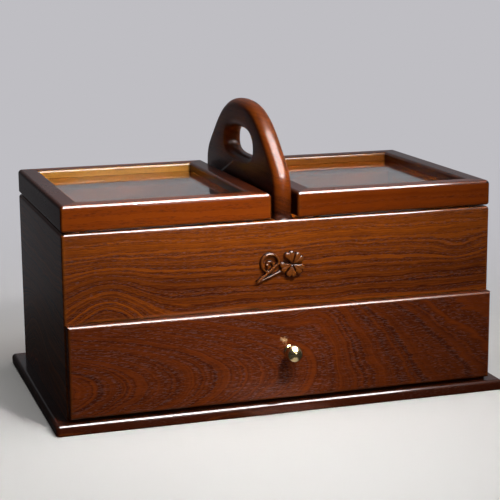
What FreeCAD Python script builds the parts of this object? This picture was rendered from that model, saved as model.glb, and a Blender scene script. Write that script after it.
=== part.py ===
import FreeCAD, Part
import math
import os
import re
import Sketcher

# Wooden sewing box: a two-storey case on a base board, with a drawer below,
# two glazed lids hinged at the back and a carrying handle between them.
# Frame: millimetres, +Z up, the front faces -Y, the origin is on the ground
# under the middle of the case.

Vector = FreeCAD.Vector
Rotation = FreeCAD.Rotation

# Places closer than this count as the same, in millimetres
NEAR = 0.001

# Driving dimensions: alias, value and meaning
SIZES = [
    ("case_width", 330, "case, over the side panels"),
    ("case_depth", 184, "case, front panel face to back panel face"),
    ("case_top", 143.5, "height of the case's rim above the ground"),
    ("wall", 9, "thickness of the case panels"),
    ("corner_round", 2, "rounding of the case's upright corners"),
    ("rim_round", 2.5, "rounding of the case's outer rim"),
    ("base_thick", 8, "base board thickness"),
    ("base_side", 10, "base board overhang at each side"),
    ("base_front", 11, "base board overhang at the front"),
    ("base_back", 8, "base board overhang at the back"),
    ("base_corner", 3, "rounding of the base board's upright corners"),
    ("base_round", 3, "rounding of the base board's top edge"),
    ("base_foot_round", 1, "rounding of the base board's lower edge"),
    ("shelf_bottom", 79, "height of the front panel's lower edge and the shelf"),
    ("shelf_thick", 5, "shelf under the compartments"),
    ("rail_width", 8, "shelf rail, across"),
    ("rail_height", 10, "shelf rail, down from the shelf"),
    ("divider_thick", 4, "compartment divider thickness"),
    ("divider_height", 40, "compartment divider height"),
    ("handle_thick", 14, "handle board thickness"),
    ("handle_length", 180, "handle board, length above the rim"),
    ("handle_peak", 224, "height above the ground where the crown's sides would meet"),
    ("shoulder_up_share", 0.416, "shoulder's corner, as a share of the way from the rim to the peak"),
    ("waist_up_share", 0.6335, "flank's bend, as a share of the way from the rim to the peak"),
    ("waist_out_share", 0.739, "flank's bend, as a share of half the handle's length"),
    ("hip_up_share", 0.9317, "crown's hip, as a share of the way from the rim to the peak"),
    ("hip_out_share", 0.461, "crown's hip, as a share of half the handle's length"),
    ("shoulder_radius", 20, "shoulder rounding"),
    ("waist_radius", 50, "hollow of the flank"),
    ("hip_radius", 36, "hip rounding"),
    ("crown_radius", 100, "crown rounding"),
    ("handle_edge", 6.5, "rounding along the handle's edge"),
    ("grip_low_share", 0.46, "finger hole's bottom, as a share of the way from the rim to the peak"),
    ("grip_top_share", 0.708, "finger hole's top, as a share of the way from the rim to the peak"),
    ("grip_low_out_share", 0.383, "finger hole's bottom, as a share of half the handle's length"),
    ("grip_top_out_share", 0.272, "finger hole's top, as a share of half the handle's length"),
    ("grip_low_radius_share", 0.375, "finger hole's lower corners, as a share of its height"),
    ("grip_top_radius_share", 0.65, "finger hole's upper corners, as a share of its height"),
    ("grip_edge", 6, "rounding along the finger hole"),
    ("lid_rise", 1, "gap between the rim and the lids"),
    ("lid_thick", 19, "lid thickness"),
    ("lid_gap", 3, "gap between each lid and the handle"),
    ("lid_rail", 15, "width of the lid's frame rails"),
    ("lid_corner", 2, "rounding of the lid's upright corners"),
    ("lid_round", 3, "rounding of the lid's outer top edge"),
    ("lid_inner_round", 2.5, "rounding of the frame's inner top edge"),
    ("lid_foot_round", 2, "rounding of the lid's outer lower edge"),
    ("glass_drop", 6.5, "glass surface below the lid's top"),
    ("glass_thick", 3, "glass thickness"),
    ("glass_ledge", 5, "how far the frame reaches over the glass"),
    ("glass_play", 0.5, "gap round the glass in its rebate"),
    ("bead_height", 5, "glazing bead height"),
    ("felt_thick", 0.8, "felt pad on the rim"),
    ("felt_radius", 2.5, "felt pad radius"),
    ("felt_inset", 16, "felt pad, in from the lid's side"),
    ("hinge_length", 24, "hinge, along its pin"),
    ("hinge_leaf", 1, "hinge leaf thickness"),
    ("hinge_reach", 12, "hinge leaf, from the pin's middle to its end"),
    ("hinge_spread", 46, "each hinge, out from its lid's middle"),
    ("knuckle_radius", 2, "hinge knuckle, outer radius"),
    ("knuckle_gap", 0.3, "play round and between the knuckles"),
    ("pin_radius", 0.9, "hinge pin radius"),
    ("pin_play", 0.05, "radial play of the hinge pin"),
    ("pin_head_radius", 1.5, "hinge pin's head radius"),
    ("pin_head_length", 0.6, "hinge pin's head length"),
    ("stop_angle", 100, "how far the lids open before the hinges' heels stop them, in degrees"),
    ("stop_reach", 5, "hinge's stop heel, out from the pin's middle"),
    ("stop_play", 0.05, "play between the heel and the open leaf"),
    ("small_screw_radius", 1.1, "hinge and drawer screws, shank radius"),
    ("small_screw_length", 7, "hinge screws, under the leaf's face"),
    ("small_head_radius", 2, "hinge and drawer screws, head radius"),
    ("small_head_height", 0.9, "hinge and drawer screws, head height"),
    ("hinge_screw_out", 7.5, "hinge screw, out from the hinge's middle"),
    ("hinge_screw_up", 7.5, "hinge screw, from the pin's middle"),
    ("big_screw_radius", 1.75, "base and handle screws, shank radius"),
    ("big_screw_length", 24, "base and handle screws, overall length"),
    ("big_head_radius", 3.5, "base and handle screws, head radius"),
    ("big_head_height", 2, "base and handle screws, head height"),
    ("big_head_sink", 0.5, "base and handle screws, head below the face"),
    ("screw_end", 26, "outermost screws, in from the case's corners"),
    ("drawer_front_thick", 8, "drawer front thickness"),
    ("drawer_front_inset", 1, "drawer front, in from the case's sides"),
    ("drawer_front_lift", 2.5, "drawer front, up from the base board"),
    ("drawer_front_gap", 0.5, "gap between the drawer front and the front panel"),
    ("drawer_front_round", 2.2, "rounding of the drawer front's face"),
    ("drawer_seat_gap", 0.3, "play between the drawer and the case's front, and its strips"),
    ("strip_thick", 2.5, "wear strip under the drawer's sides"),
    ("drawer_side_gap", 1, "play at each side of the drawer"),
    ("drawer_wall", 8, "drawer box wall thickness"),
    ("drawer_rail_gap", 2.5, "play between the drawer and the shelf rails"),
    ("drawer_back_gap", 6, "space behind the drawer"),
    ("drawer_bottom_thick", 4, "drawer bottom thickness"),
    ("drawer_bottom_up", 4, "drawer bottom, up from the sides' lower edge"),
    ("drawer_groove", 4, "depth of the groove that holds the drawer bottom"),
    ("front_screw_out", 110, "drawer front screws, out from the middle"),
    ("front_screw_height", 44, "drawer front screws, height above the ground"),
    ("front_screw_length", 13, "drawer front screws, under the head"),
    ("knob_up", 47.5, "knob, height above the ground"),
    ("knob_ball", 6, "knob's ball radius"),
    ("knob_neck", 2.6, "knob's neck radius"),
    ("knob_collar", 3.9, "knob's collar radius"),
    ("knob_collar_thick", 1.6, "knob's collar thickness"),
    ("knob_reach", 13.2, "ball's middle, out from the drawer front"),
    ("knob_screw_radius", 2, "knob screw, shank radius"),
    ("knob_screw_head", 4, "knob screw, head radius"),
    ("knob_head_height", 2.4, "knob screw, head height"),
    ("knob_thread", 9, "knob screw's length inside the knob"),
    ("clover_x", 5.5, "clover's middle, right of the centre line"),
    ("clover_z", 110, "clover's middle, height above the ground"),
    ("clover_thick", 2.6, "clover leaf thickness"),
    ("clover_heart", 2.4, "radius of the clover's middle"),
    ("leaf_count", 5, "number of leaves"),
    ("leaf_first", 43, "angle of the first leaf above the level"),
    ("lobe_radius", 2.3, "each leaf's two round lobes"),
    ("lobe_out", 6.6, "lobes, out from the clover's middle"),
    ("lobe_apart", 2.9, "distance between a leaf's lobes"),
    ("tail_x", -22.3, "tendril's tail, right of the centre line"),
    ("tail_z", 98.4, "tendril's tail, height above the ground"),
    ("curl_x", -12, "curl's middle, right of the centre line"),
    ("curl_z", 112.2, "curl's middle, height above the ground"),
    ("curl_outer", 6.7, "curl's outer turn, radius"),
    ("curl_inner", 4.2, "curl's second turn, radius"),
    ("curl_core", 2.3, "curl's last turn, radius"),
    ("bend_radius", 2.2, "bend from the strand into the curl"),
    ("bud_radius", 1.5, "bud at the tendril's end"),
    ("stem_radius", 1, "half the tendril's width"),
    ("stem_thick", 2.2, "tendril thickness"),
    ("lower_strand_share", 0.82, "lower strand's length, as a share of the way to the clover"),
]

document = FreeCAD.newDocument("SewingBox")
sheet = document.addObject("Spreadsheet::Sheet", "Size")
for row, (alias, size, meaning) in enumerate(SIZES, start=1):
    sheet.set(f"A{row}", meaning)
    sheet.set(f"B{row}", str(size))
    sheet.setAlias(f"B{row}", alias)
document.recompute()


ALIASES = {alias for alias, _, _ in SIZES}


def in_sheet(text):
    """The expression with each size's name turned into its cell in the sheet."""
    return re.sub(r"[a-z_]+", lambda word: "Size." * (word[0] in ALIASES) + word[0], text)


def value(text):
    """The number that an expression of the sizes has now."""
    return float(sheet.evalExpression(in_sheet(str(text))))


def bind(item, **places):
    """Binds properties of an object to expressions of the sizes."""
    for prop, text in places.items():
        item.setExpression(prop.replace("__", "."), in_sheet(str(text)))


# Places that several pieces share, as expressions of the sizes
HALF_WIDTH = "case_width / 2"
HALF_DEPTH = "case_depth / 2"
INNER_X = f"( {HALF_WIDTH} - wall )"
INNER_Y = f"( {HALF_DEPTH} - wall )"
SHELF_TOP = "( shelf_bottom + shelf_thick )"
HANDLE_SIDE = "handle_thick / 2"
MOST_ROUND = "handle_thick * 0.47"
HANDLE_HALF = "( handle_length / 2 )"
HANDLE_RISE = "( handle_peak - case_top )"
GRIP_LOW = f"( case_top + grip_low_share * {HANDLE_RISE} )"
GRIP_TOP = f"( case_top + grip_top_share * {HANDLE_RISE} )"
GRIP_LOW_OUT = f"( grip_low_out_share * {HANDLE_HALF} )"
GRIP_TOP_OUT = f"( grip_top_out_share * {HANDLE_HALF} )"
LID_INNER = f"( {HANDLE_SIDE} + lid_gap )"
LID_BOTTOM = "( case_top + lid_rise )"
LID_TOP = f"( {LID_BOTTOM} + lid_thick )"
GLASS_TOP = f"( {LID_TOP} - glass_drop )"
GLASS_BOTTOM = f"( {GLASS_TOP} - glass_thick )"
PIN_Y = f"( {HALF_DEPTH} + knuckle_radius + knuckle_gap )"
PIN_Z = "( case_top + lid_rise / 2 )"
STRIP_TOP = "( base_thick + strip_thick )"
DRAWER_BOTTOM = f"( {STRIP_TOP} + drawer_seat_gap )"
DRAWER_TOP = "( shelf_bottom - rail_height - drawer_rail_gap )"
DRAWER_X = f"( {INNER_X} - drawer_side_gap )"
DRAWER_FRONT_Y = f"( -1 * {HALF_DEPTH} - drawer_seat_gap )"
DRAWER_FACE_Y = f"( {DRAWER_FRONT_Y} - drawer_front_thick )"
DRAWER_BACK_Y = f"( {INNER_Y} - drawer_back_gap )"

# Angles where the tendril's curl starts, tightens twice and ends, in degrees
CURL_START, CURL_SECOND, CURL_THIRD, CURL_END = 10, 240, 420, 570


def minus(text):
    """The same place on the other side of the origin."""
    return f"-1 * ( {text} )"


def side_span(hand, inner, outer):
    """A span of x on the right (hand 1) or on the left (hand -1), low end first."""
    return (inner, outer) if hand > 0 else (minus(outer), minus(inner))


def box(name, x, y, z):
    """A block between two places on each axis."""
    block = document.addObject("Part::Box", name)
    for length, axis, (low, high) in zip(("Length", "Width", "Height"), "xyz", (x, y, z)):
        bind(block, **{length: f"( {high} ) - ( {low} )", f"Placement__Base__{axis}": low})
    return block


def cylinder(name, radius, length, x, y, z, along=Vector(0, 0, 1)):
    """A round bar that starts at a place and runs along a direction."""
    bar = document.addObject("Part::Cylinder", name)
    bar.Placement = FreeCAD.Placement(Vector(), Rotation(Vector(0, 0, 1), along))
    bind(bar, Radius=radius, Height=length)
    bind(bar, Placement__Base__x=x, Placement__Base__y=y, Placement__Base__z=z)
    return bar


def cone(name, radius, end_radius, length, x, y, z, along=Vector(0, 0, 1)):
    """A cone that starts at a place and runs along a direction."""
    bar = document.addObject("Part::Cone", name)
    bar.Placement = FreeCAD.Placement(Vector(), Rotation(Vector(0, 0, 1), along))
    bind(bar, Radius1=radius, Radius2=end_radius, Height=length)
    bind(bar, Placement__Base__x=x, Placement__Base__y=y, Placement__Base__z=z)
    return bar


def mitre(name, side, x, y, z, width):
    """The region of one side of a frame, cut at 45 degrees at both ends."""
    (x_low, x_high), (y_low, y_high), (z_low, z_high) = x, y, z
    wedge = document.addObject("Part::Wedge", name)
    bind(wedge, Zmin=z_low, Z2min=z_low, Zmax=z_high, Z2max=z_high)
    if side in ("front", "back"):
        long_ends = (x_low, x_high)
        start = y_low if side == "front" else f"( {y_high} ) - {width}"
    else:
        # The wedge is turned a quarter, so that it tapers along x
        wedge.Placement = FreeCAD.Placement(Vector(), Rotation(Vector(0, 0, 1), -90))
        long_ends = (minus(y_high), minus(y_low))
        start = x_low if side == "left" else f"( {x_high} ) - {width}"
    short_ends = (f"( {long_ends[0]} ) + {width}", f"( {long_ends[1]} ) - {width}")
    outer_first = side in ("front", "left")
    first, second = (long_ends, short_ends) if outer_first else (short_ends, long_ends)
    bind(wedge, Ymin=start, Ymax=f"( {start} ) + {width}")
    bind(wedge, Xmin=first[0], Xmax=first[1], X2min=second[0], X2max=second[1])
    return wedge


def cut(name, base, *tools):
    """One solid less one or more others."""
    result = document.addObject("Part::Cut", name)
    result.Base = base
    result.Tool = tools[0] if len(tools) == 1 else fuse(name + "_tools", *tools)
    return result


def fuse(name, *pieces):
    """Several solids made one."""
    result = document.addObject("Part::MultiFuse", name)
    result.Shapes = list(pieces)
    return result


def common(name, base, tool):
    """What two solids share."""
    result = document.addObject("Part::Common", name)
    result.Base = base
    result.Tool = tool
    return result


def group(name, pieces):
    """Separate solids kept together as one sub-part."""
    result = document.addObject("Part::Compound", name)
    result.Links = list(pieces)
    return result


SUBPARTS = []


def keep(item, node):
    """Marks an object as a finished sub-part and gives it its name."""
    item.Label = node
    SUBPARTS.append(item)
    return item


def origin_plane(body, role):
    """One of a body's own origin planes."""
    return next(item for item in body.Origin.OriginFeatures if item.Role == role)


def sketch_on(body, name, role, offset="0"):
    """An empty sketch on one of the body's origin planes, moved along its normal."""
    sketch = body.newObject("Sketcher::SketchObject", name)
    sketch.AttachmentSupport = (origin_plane(body, role), [""])
    sketch.MapMode = "FlatFace"
    bind(sketch, AttachmentOffset__Base__z=offset)
    return sketch


def pin_point(sketch, element, point, place):
    """Ties a sketch point to a place that is given by two expressions."""
    for kind, text in zip(("DistanceX", "DistanceY"), place):
        constraint = Sketcher.Constraint(kind, -1, 1, element, point, value(text))
        index = sketch.addConstraint(constraint)
        sketch.setExpression(f"Constraints[{index}]", in_sheet(str(text)))


def outline(sketch, corners):
    """Draws a closed outline through corners, each (across, up) or (across, up, radius)."""
    count = len(corners)
    points = [Vector(value(corner[0]), value(corner[1]), 0) for corner in corners]
    radii = [value(corner[2]) if len(corner) > 2 else 0 for corner in corners]
    starts, ends = [], []
    for index, (here, radius) in enumerate(zip(points, radii)):
        back = (points[index - 1] - here).normalize()
        ahead = (points[(index + 1) % count] - here).normalize()
        trim = radius / math.tan(back.getAngle(ahead) / 2) if radius else 0
        ends.append(here + back * trim)
        starts.append(here + ahead * trim)
    for index in range(count):
        line = Part.LineSegment(starts[index], ends[(index + 1) % count])
        sketch.addGeometry(line, False)
    for index, corner in enumerate(corners):
        before = (index - 1) % count
        if not radii[index]:
            sketch.addConstraint(Sketcher.Constraint("Coincident", before, 2, index, 1))
            pin_point(sketch, index, 1, corner)
            continue
        here = points[index]
        inward = (ends[index] + starts[index]) * 0.5 - here
        back = ends[index] - here
        reach = math.hypot(radii[index], back.Length)
        centre = here + inward.normalize() * reach
        middle = centre + (here - centre).normalize() * radii[index]
        arc = Part.Arc(ends[index], middle, starts[index])
        arc_id = sketch.addGeometry(arc, False)
        turned = (points[index] - ends[index]).cross(starts[index] - points[index]).z > 0
        first, last = (1, 2) if turned else (2, 1)
        corner_id = sketch.addGeometry(Part.Point(here), True)
        sketch.addConstraint([
            Sketcher.Constraint("Tangent", before, 2, arc_id, first),
            Sketcher.Constraint("Tangent", arc_id, last, index, 1),
            Sketcher.Constraint("PointOnObject", corner_id, 1, before),
            Sketcher.Constraint("PointOnObject", corner_id, 1, index),
        ])
        radius_id = sketch.addConstraint(Sketcher.Constraint("Radius", arc_id, radii[index]))
        sketch.setExpression(f"Constraints[{radius_id}]", in_sheet(str(corner[2])))
        pin_point(sketch, corner_id, 1, corner)


def rectangle(across, up):
    """The four corners of a rectangle between two places each way."""
    return [(across[0], up[0]), (across[1], up[0]), (across[1], up[1]), (across[0], up[1])]


def pad(body, sketch, length, midplane=False):
    """Raises a sketch to a solid."""
    feature = body.newObject("PartDesign::Pad", sketch.Name + "_pad")
    feature.Profile = sketch
    feature.Midplane = midplane
    bind(feature, Length=length)
    document.recompute()
    return feature


def pocket(body, sketch, length, reverse=False, midplane=False):
    """Cuts a sketch out of the solid, and stops if nothing was cut."""
    before = body.Shape.Volume
    feature = body.newObject("PartDesign::Pocket", sketch.Name + "_pocket")
    feature.Profile = sketch
    feature.Reversed = reverse
    feature.Midplane = midplane
    bind(feature, Length=length)
    document.recompute()
    if body.Shape.Volume >= before:
        raise RuntimeError(f"{feature.Name} cuts nothing")
    return feature


def round_edges(body, name, radius, chosen):
    """Rounds the edges of the body's solid that a test picks."""
    tip = body.Tip
    edges = [f"Edge{i}" for i, edge in enumerate(tip.Shape.Edges, start=1) if chosen(edge)]
    if not edges:
        raise RuntimeError(f"{name} finds no edge")
    feature = body.newObject("PartDesign::Fillet", name)
    feature.Base = (tip, edges)
    bind(feature, Radius=radius)
    document.recompute()
    return feature


def is_upright(edge):
    """True for a straight edge along z."""
    first, last = edge.Vertexes[0].Point, edge.Vertexes[-1].Point
    return math.hypot(last.x - first.x, last.y - first.y) < NEAR < abs(last.z - first.z)


def lies_at(height):
    """A test for edges that lie level at a height."""
    level = value(height)
    return lambda edge: max(abs(edge.BoundBox.ZMin - level), abs(edge.BoundBox.ZMax - level)) < NEAR


def countersunk_screw(name, place, along, radius, head_radius, head_height, length):
    """A screw with a countersunk head whose flat top is at a place, driven along a direction."""
    head = cone(name + "_head", head_radius, radius, head_height, *place, along)
    shank = cylinder(name + "_shank", radius, length, *place, along)
    return fuse(name, head, shank)


def build_base():
    """Base board with a rounded edge, drilled for its screws."""
    body = document.addObject("PartDesign::Body", "base_blank")
    sketch = sketch_on(body, "base_outline", "XY_Plane")
    half = f"{HALF_WIDTH} + base_side"
    front = minus(f"{HALF_DEPTH} + base_front")
    outline(sketch, rectangle((minus(half), half), (front, f"{HALF_DEPTH} + base_back")))
    pad(body, sketch, "base_thick")
    round_edges(body, "base_corners", "base_corner", is_upright)
    round_edges(body, "base_top_edge", "base_round", lies_at("base_thick"))
    round_edges(body, "base_foot_edge", "base_foot_round", lies_at("0"))
    return body


def build_case_shell():
    """The case's four walls in one piece, before they are parted at the mitres."""
    body = document.addObject("PartDesign::Body", "case_shell")
    sketch = sketch_on(body, "shell_outline", "XY_Plane", "base_thick")
    outline(sketch, rectangle((minus(HALF_WIDTH), HALF_WIDTH), (minus(HALF_DEPTH), HALF_DEPTH)))
    pad(body, sketch, "case_top - base_thick")
    round_edges(body, "shell_corners", "corner_round", is_upright)
    round_edges(body, "shell_rim", "rim_round", lies_at("case_top"))
    inside = sketch_on(body, "shell_inside", "XY_Plane", "case_top")
    outline(inside, rectangle((minus(INNER_X), INNER_X), (minus(INNER_Y), INNER_Y)))
    pocket(body, inside, "case_top - base_thick")
    return body


def build_handle():
    """Handle board: a divider below the rim and a rounded grip above it."""
    body = document.addObject("PartDesign::Body", "handle_blank")
    sketch = sketch_on(body, "handle_outline", "YZ_Plane")

    def above_rim(share):
        return f"case_top + {share} * {HANDLE_RISE}"

    right = [
        (INNER_Y, SHELF_TOP),
        (INNER_Y, "case_top"),
        (HANDLE_HALF, "case_top"),
        (HANDLE_HALF, above_rim("shoulder_up_share"), "shoulder_radius"),
        (f"waist_out_share * {HANDLE_HALF}", above_rim("waist_up_share"), "waist_radius"),
        (f"hip_out_share * {HANDLE_HALF}", above_rim("hip_up_share"), "hip_radius"),
    ]
    left = [(minus(corner[0]), *corner[1:]) for corner in reversed(right)]
    outline(sketch, right + [("0", "handle_peak", "crown_radius")] + left)
    pad(body, sketch, "handle_thick", midplane=True)
    side, rim = value(HANDLE_SIDE), value("case_top")

    def on_face(edge):
        bounds = edge.BoundBox
        return abs(abs(bounds.XMin) - side) < NEAR and bounds.XLength < NEAR

    def on_outline(edge):
        bounds = edge.BoundBox
        return on_face(edge) and bounds.ZMin > rim - NEAR and bounds.ZMax > rim + NEAR

    round_edges(body, "handle_edge_round", f"min( handle_edge ; {MOST_ROUND} )", on_outline)
    hole = sketch_on(body, "grip_hole", "YZ_Plane")
    low_radius = f"grip_low_radius_share * ( {GRIP_TOP} - {GRIP_LOW} )"
    top_radius = f"grip_top_radius_share * ( {GRIP_TOP} - {GRIP_LOW} )"
    outline(hole, [
        (minus(GRIP_LOW_OUT), GRIP_LOW, low_radius),
        (GRIP_LOW_OUT, GRIP_LOW, low_radius),
        (GRIP_TOP_OUT, GRIP_TOP, top_radius),
        (minus(GRIP_TOP_OUT), GRIP_TOP, top_radius),
    ])
    pocket(body, hole, "handle_thick * 2", midplane=True)
    reach, low, top = value(GRIP_LOW_OUT), value(GRIP_LOW), value(GRIP_TOP)

    def on_grip(edge):
        bounds = edge.BoundBox
        across = max(abs(bounds.YMin), abs(bounds.YMax)) < reach + NEAR
        return on_face(edge) and across and low - NEAR < bounds.ZMin and bounds.ZMax < top + NEAR

    round_edges(body, "grip_edge_round", f"min( grip_edge ; {MOST_ROUND} )", on_grip)
    return body


def along_line(count, first, last):
    """Places spread evenly from first to last, as expressions."""
    steps = count - 1
    return [f"( {first} ) + ( ( {last} ) - ( {first} ) ) * {i} / {steps}" for i in range(count)]


def build_case():
    """Base board, panels, shelf, rails, strips, handle board and dividers."""
    x_span, y_span = (minus(HALF_WIDTH), HALF_WIDTH), (minus(HALF_DEPTH), HALF_DEPTH)
    above, full = ("shelf_bottom", "case_top"), ("base_thick", "case_top")
    shell, base, handle = build_case_shell(), build_base(), build_handle()

    # Screws up through the base board into the side and back panels
    end_x, end_y = f"( {HALF_WIDTH} - screw_end )", f"( {HALF_DEPTH} - screw_end )"
    middle_of_wall = f"( {HALF_WIDTH} - wall / 2 )"
    places = {"left": [], "right": [], "back": []}
    for hand, side in ((-1, "left"), (1, "right")):
        for y in along_line(3, minus(end_y), end_y):
            places[side].append((f"{hand} * {middle_of_wall}", y))
    for x in along_line(4, minus(end_x), end_x):
        places["back"].append((x, f"{HALF_DEPTH} - wall / 2"))
    screws = {}
    for side, spots in places.items():
        screws[side] = []
        for number, (x, y) in enumerate(spots):
            screw = countersunk_screw(
                f"base_screw_{side}_{number}", (x, y, "big_head_sink"), Vector(0, 0, 1),
                "big_screw_radius", "big_head_radius", "big_head_height", "big_screw_length",
            )
            screws[side].append(screw)
    every_screw = screws["left"] + screws["right"] + screws["back"]
    spots = [spot for side in places.values() for spot in side]
    sinks = [
        cylinder(f"base_sink_{i}", "big_head_radius", "big_head_sink", x, y, "0")
        for i, (x, y) in enumerate(spots)
    ]
    keep(group("base_screws", every_screw), "base_screws")
    keep(cut("base_board", base, *every_screw, *sinks), "base_board")

    # Panels, parted from the shell at the mitres
    for hand, side in ((-1, "left"), (1, "right")):
        region = fuse(
            f"{side}_region",
            mitre(f"{side}_mitre", side, x_span, y_span, full, "wall"),
            box(f"{side}_lower_corner", side_span(hand, INNER_X, HALF_WIDTH),
                (minus(HALF_DEPTH), minus(INNER_Y)), ("base_thick", "shelf_bottom")),
        )
        panel = common(f"{side}_panel_blank", shell, region)
        keep(cut(f"{side}_panel", panel, *screws[side]), f"{side}_side_panel")
    back_region = mitre("back_mitre", "back", x_span, y_span, full, "wall")
    back = common("back_panel_blank", shell, back_region)
    front = common("front_panel", shell, mitre("front_mitre", "front", x_span, y_span, above, "wall"))
    keep(front, "front_panel")

    # Shelf, the rails that carry it and the strips that the drawer slides on
    inner_y = (minus(INNER_Y), INNER_Y)
    shelf = box("shelf_blank", (minus(INNER_X), INNER_X), inner_y, ("shelf_bottom", SHELF_TOP))
    for hand, side in ((-1, "left"), (1, "right")):
        rail_x = side_span(hand, f"{INNER_X} - rail_width", INNER_X)
        rail_z = ("shelf_bottom - rail_height", "shelf_bottom")
        keep(box(f"{side}_rail", rail_x, inner_y, rail_z), f"{side}_shelf_rail")
        strip_x = side_span(hand, f"{INNER_X} - drawer_side_gap - drawer_wall", INNER_X)
        strip = box(f"{side}_strip", strip_x, inner_y, ("base_thick", STRIP_TOP))
        keep(strip, f"{side}_wear_strip")

    # Handle board, screwed up through the shelf
    handle_end = f"( {INNER_Y} - screw_end )"
    handle_screws = []
    for number, y in enumerate(along_line(3, minus(handle_end), handle_end)):
        screw = countersunk_screw(
            f"handle_screw_{number}", ("0", y, "shelf_bottom + big_head_sink"), Vector(0, 0, 1),
            "big_screw_radius", "big_head_radius", "big_head_height", "big_screw_length",
        )
        handle_screws.append(screw)
    handle_sinks = [
        cylinder(f"handle_sink_{i}", "big_head_radius", "big_head_sink", "0", y, "shelf_bottom")
        for i, y in enumerate(along_line(3, minus(handle_end), handle_end))
    ]
    keep(group("handle_screws", handle_screws), "handle_screws")
    keep(cut("shelf", shelf, *handle_screws, *handle_sinks), "compartment_shelf")
    keep(cut("handle_board", handle, *handle_screws), "handle_board")

    # Two dividers that cross at a half-lap in the right compartment
    half_slot = "( divider_thick / 2 )"
    cell_middle = f"( ( {HANDLE_SIDE} + {INNER_X} ) / 2 )"
    divider_z = (SHELF_TOP, f"{SHELF_TOP} + divider_height")
    lap = f"( {SHELF_TOP} + divider_height / 2 )"
    crossing_x = (f"{cell_middle} - {half_slot}", f"{cell_middle} + {half_slot}")
    crossing_y = (minus(half_slot), half_slot)
    long_blank = box("long_divider_blank", (HANDLE_SIDE, INNER_X), crossing_y, divider_z)
    cross_blank = box("cross_divider_blank", crossing_x, inner_y, divider_z)
    long_slot = box("long_divider_slot", crossing_x, crossing_y, (lap, divider_z[1]))
    cross_slot = box("cross_divider_slot", crossing_x, crossing_y, (divider_z[0], lap))
    keep(cut("long_divider", long_blank, long_slot), "long_divider")
    keep(cut("cross_divider", cross_blank, cross_slot), "cross_divider")

    # Felt pads on the front panel's rim that the lids' front rails come down on
    pad_y = minus(f"{HALF_DEPTH} - wall / 2")
    pad_x = {"outer": f"( {HALF_WIDTH} - felt_inset )", "inner": f"( {LID_INNER} + felt_inset )"}
    pads = [
        cylinder(f"{side}_{spot}_felt", "felt_radius", "felt_thick", f"{hand} * {x}", pad_y, "case_top")
        for hand, side in ((-1, "left"), (1, "right"))
        for spot, x in pad_x.items()
    ]
    keep(group("lid_felt_pads", pads), "lid_felt_pads")
    return back, screws["back"]


def build_lid(hand, side):
    """One glazed lid: four mitred rails, the glass and its beads."""
    x = side_span(hand, LID_INNER, HALF_WIDTH)
    y = (minus(HALF_DEPTH), HALF_DEPTH)
    z = (LID_BOTTOM, LID_TOP)

    def inset(span, amount):
        return (f"( {span[0]} ) + {amount}", f"( {span[1]} ) - {amount}")

    body = document.addObject("PartDesign::Body", f"{side}_lid_frame")
    sketch = sketch_on(body, f"{side}_lid_outline", "XY_Plane", LID_BOTTOM)
    outline(sketch, rectangle(x, y))
    pad(body, sketch, "lid_thick")
    round_edges(body, f"{side}_lid_corners", "lid_corner", is_upright)
    round_edges(body, f"{side}_lid_top_edge", "lid_round", lies_at(LID_TOP))
    round_edges(body, f"{side}_lid_foot_edge", "lid_foot_round", lies_at(LID_BOTTOM))
    window = sketch_on(body, f"{side}_lid_window", "XY_Plane", LID_TOP)
    outline(window, rectangle(inset(x, "lid_rail"), inset(y, "lid_rail")))
    pocket(body, window, "lid_thick")
    left_edge, right_edge = (value(place) for place in inset(x, "lid_rail"))
    back_edge = value(inset(y, "lid_rail")[1])
    top = lies_at(LID_TOP)

    def on_window(edge):
        middle = edge.CenterOfMass
        across = left_edge - NEAR < middle.x < right_edge + NEAR
        return top(edge) and across and abs(middle.y) < back_edge + NEAR

    round_edges(body, f"{side}_lid_window_edge", "lid_inner_round", on_window)
    ledge = "( lid_rail - glass_ledge )"
    rebate = sketch_on(body, f"{side}_lid_rebate", "XY_Plane", LID_BOTTOM)
    outline(rebate, rectangle(inset(x, ledge), inset(y, ledge)))
    pocket(body, rebate, f"{GLASS_TOP} - {LID_BOTTOM}", reverse=True)

    sides = {"front": "front", "back": "back"}
    sides["left"], sides["right"] = ("outer", "inner") if hand < 0 else ("inner", "outer")
    rails = {}
    for way, word in sides.items():
        region = mitre(f"{side}_{word}_mitre", way, x, y, z, "lid_rail")
        rails[word] = common(f"{side}_{word}_rail_blank", body, region)

    pane = f"( {ledge} + glass_play )"
    glass = box(f"{side}_glass", inset(x, pane), inset(y, pane), (GLASS_BOTTOM, GLASS_TOP))
    keep(glass, f"{side}_lid_glass")
    bead_z = (f"{GLASS_BOTTOM} - bead_height", GLASS_BOTTOM)
    bead_x, bead_y = inset(x, ledge), inset(y, ledge)
    beads = [
        mitre(f"{side}_{way}_bead", way, bead_x, bead_y, bead_z, "glass_ledge")
        for way in sides
    ]
    keep(group(f"{side}_beads", beads), f"{side}_glazing_beads")
    return rails


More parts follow.
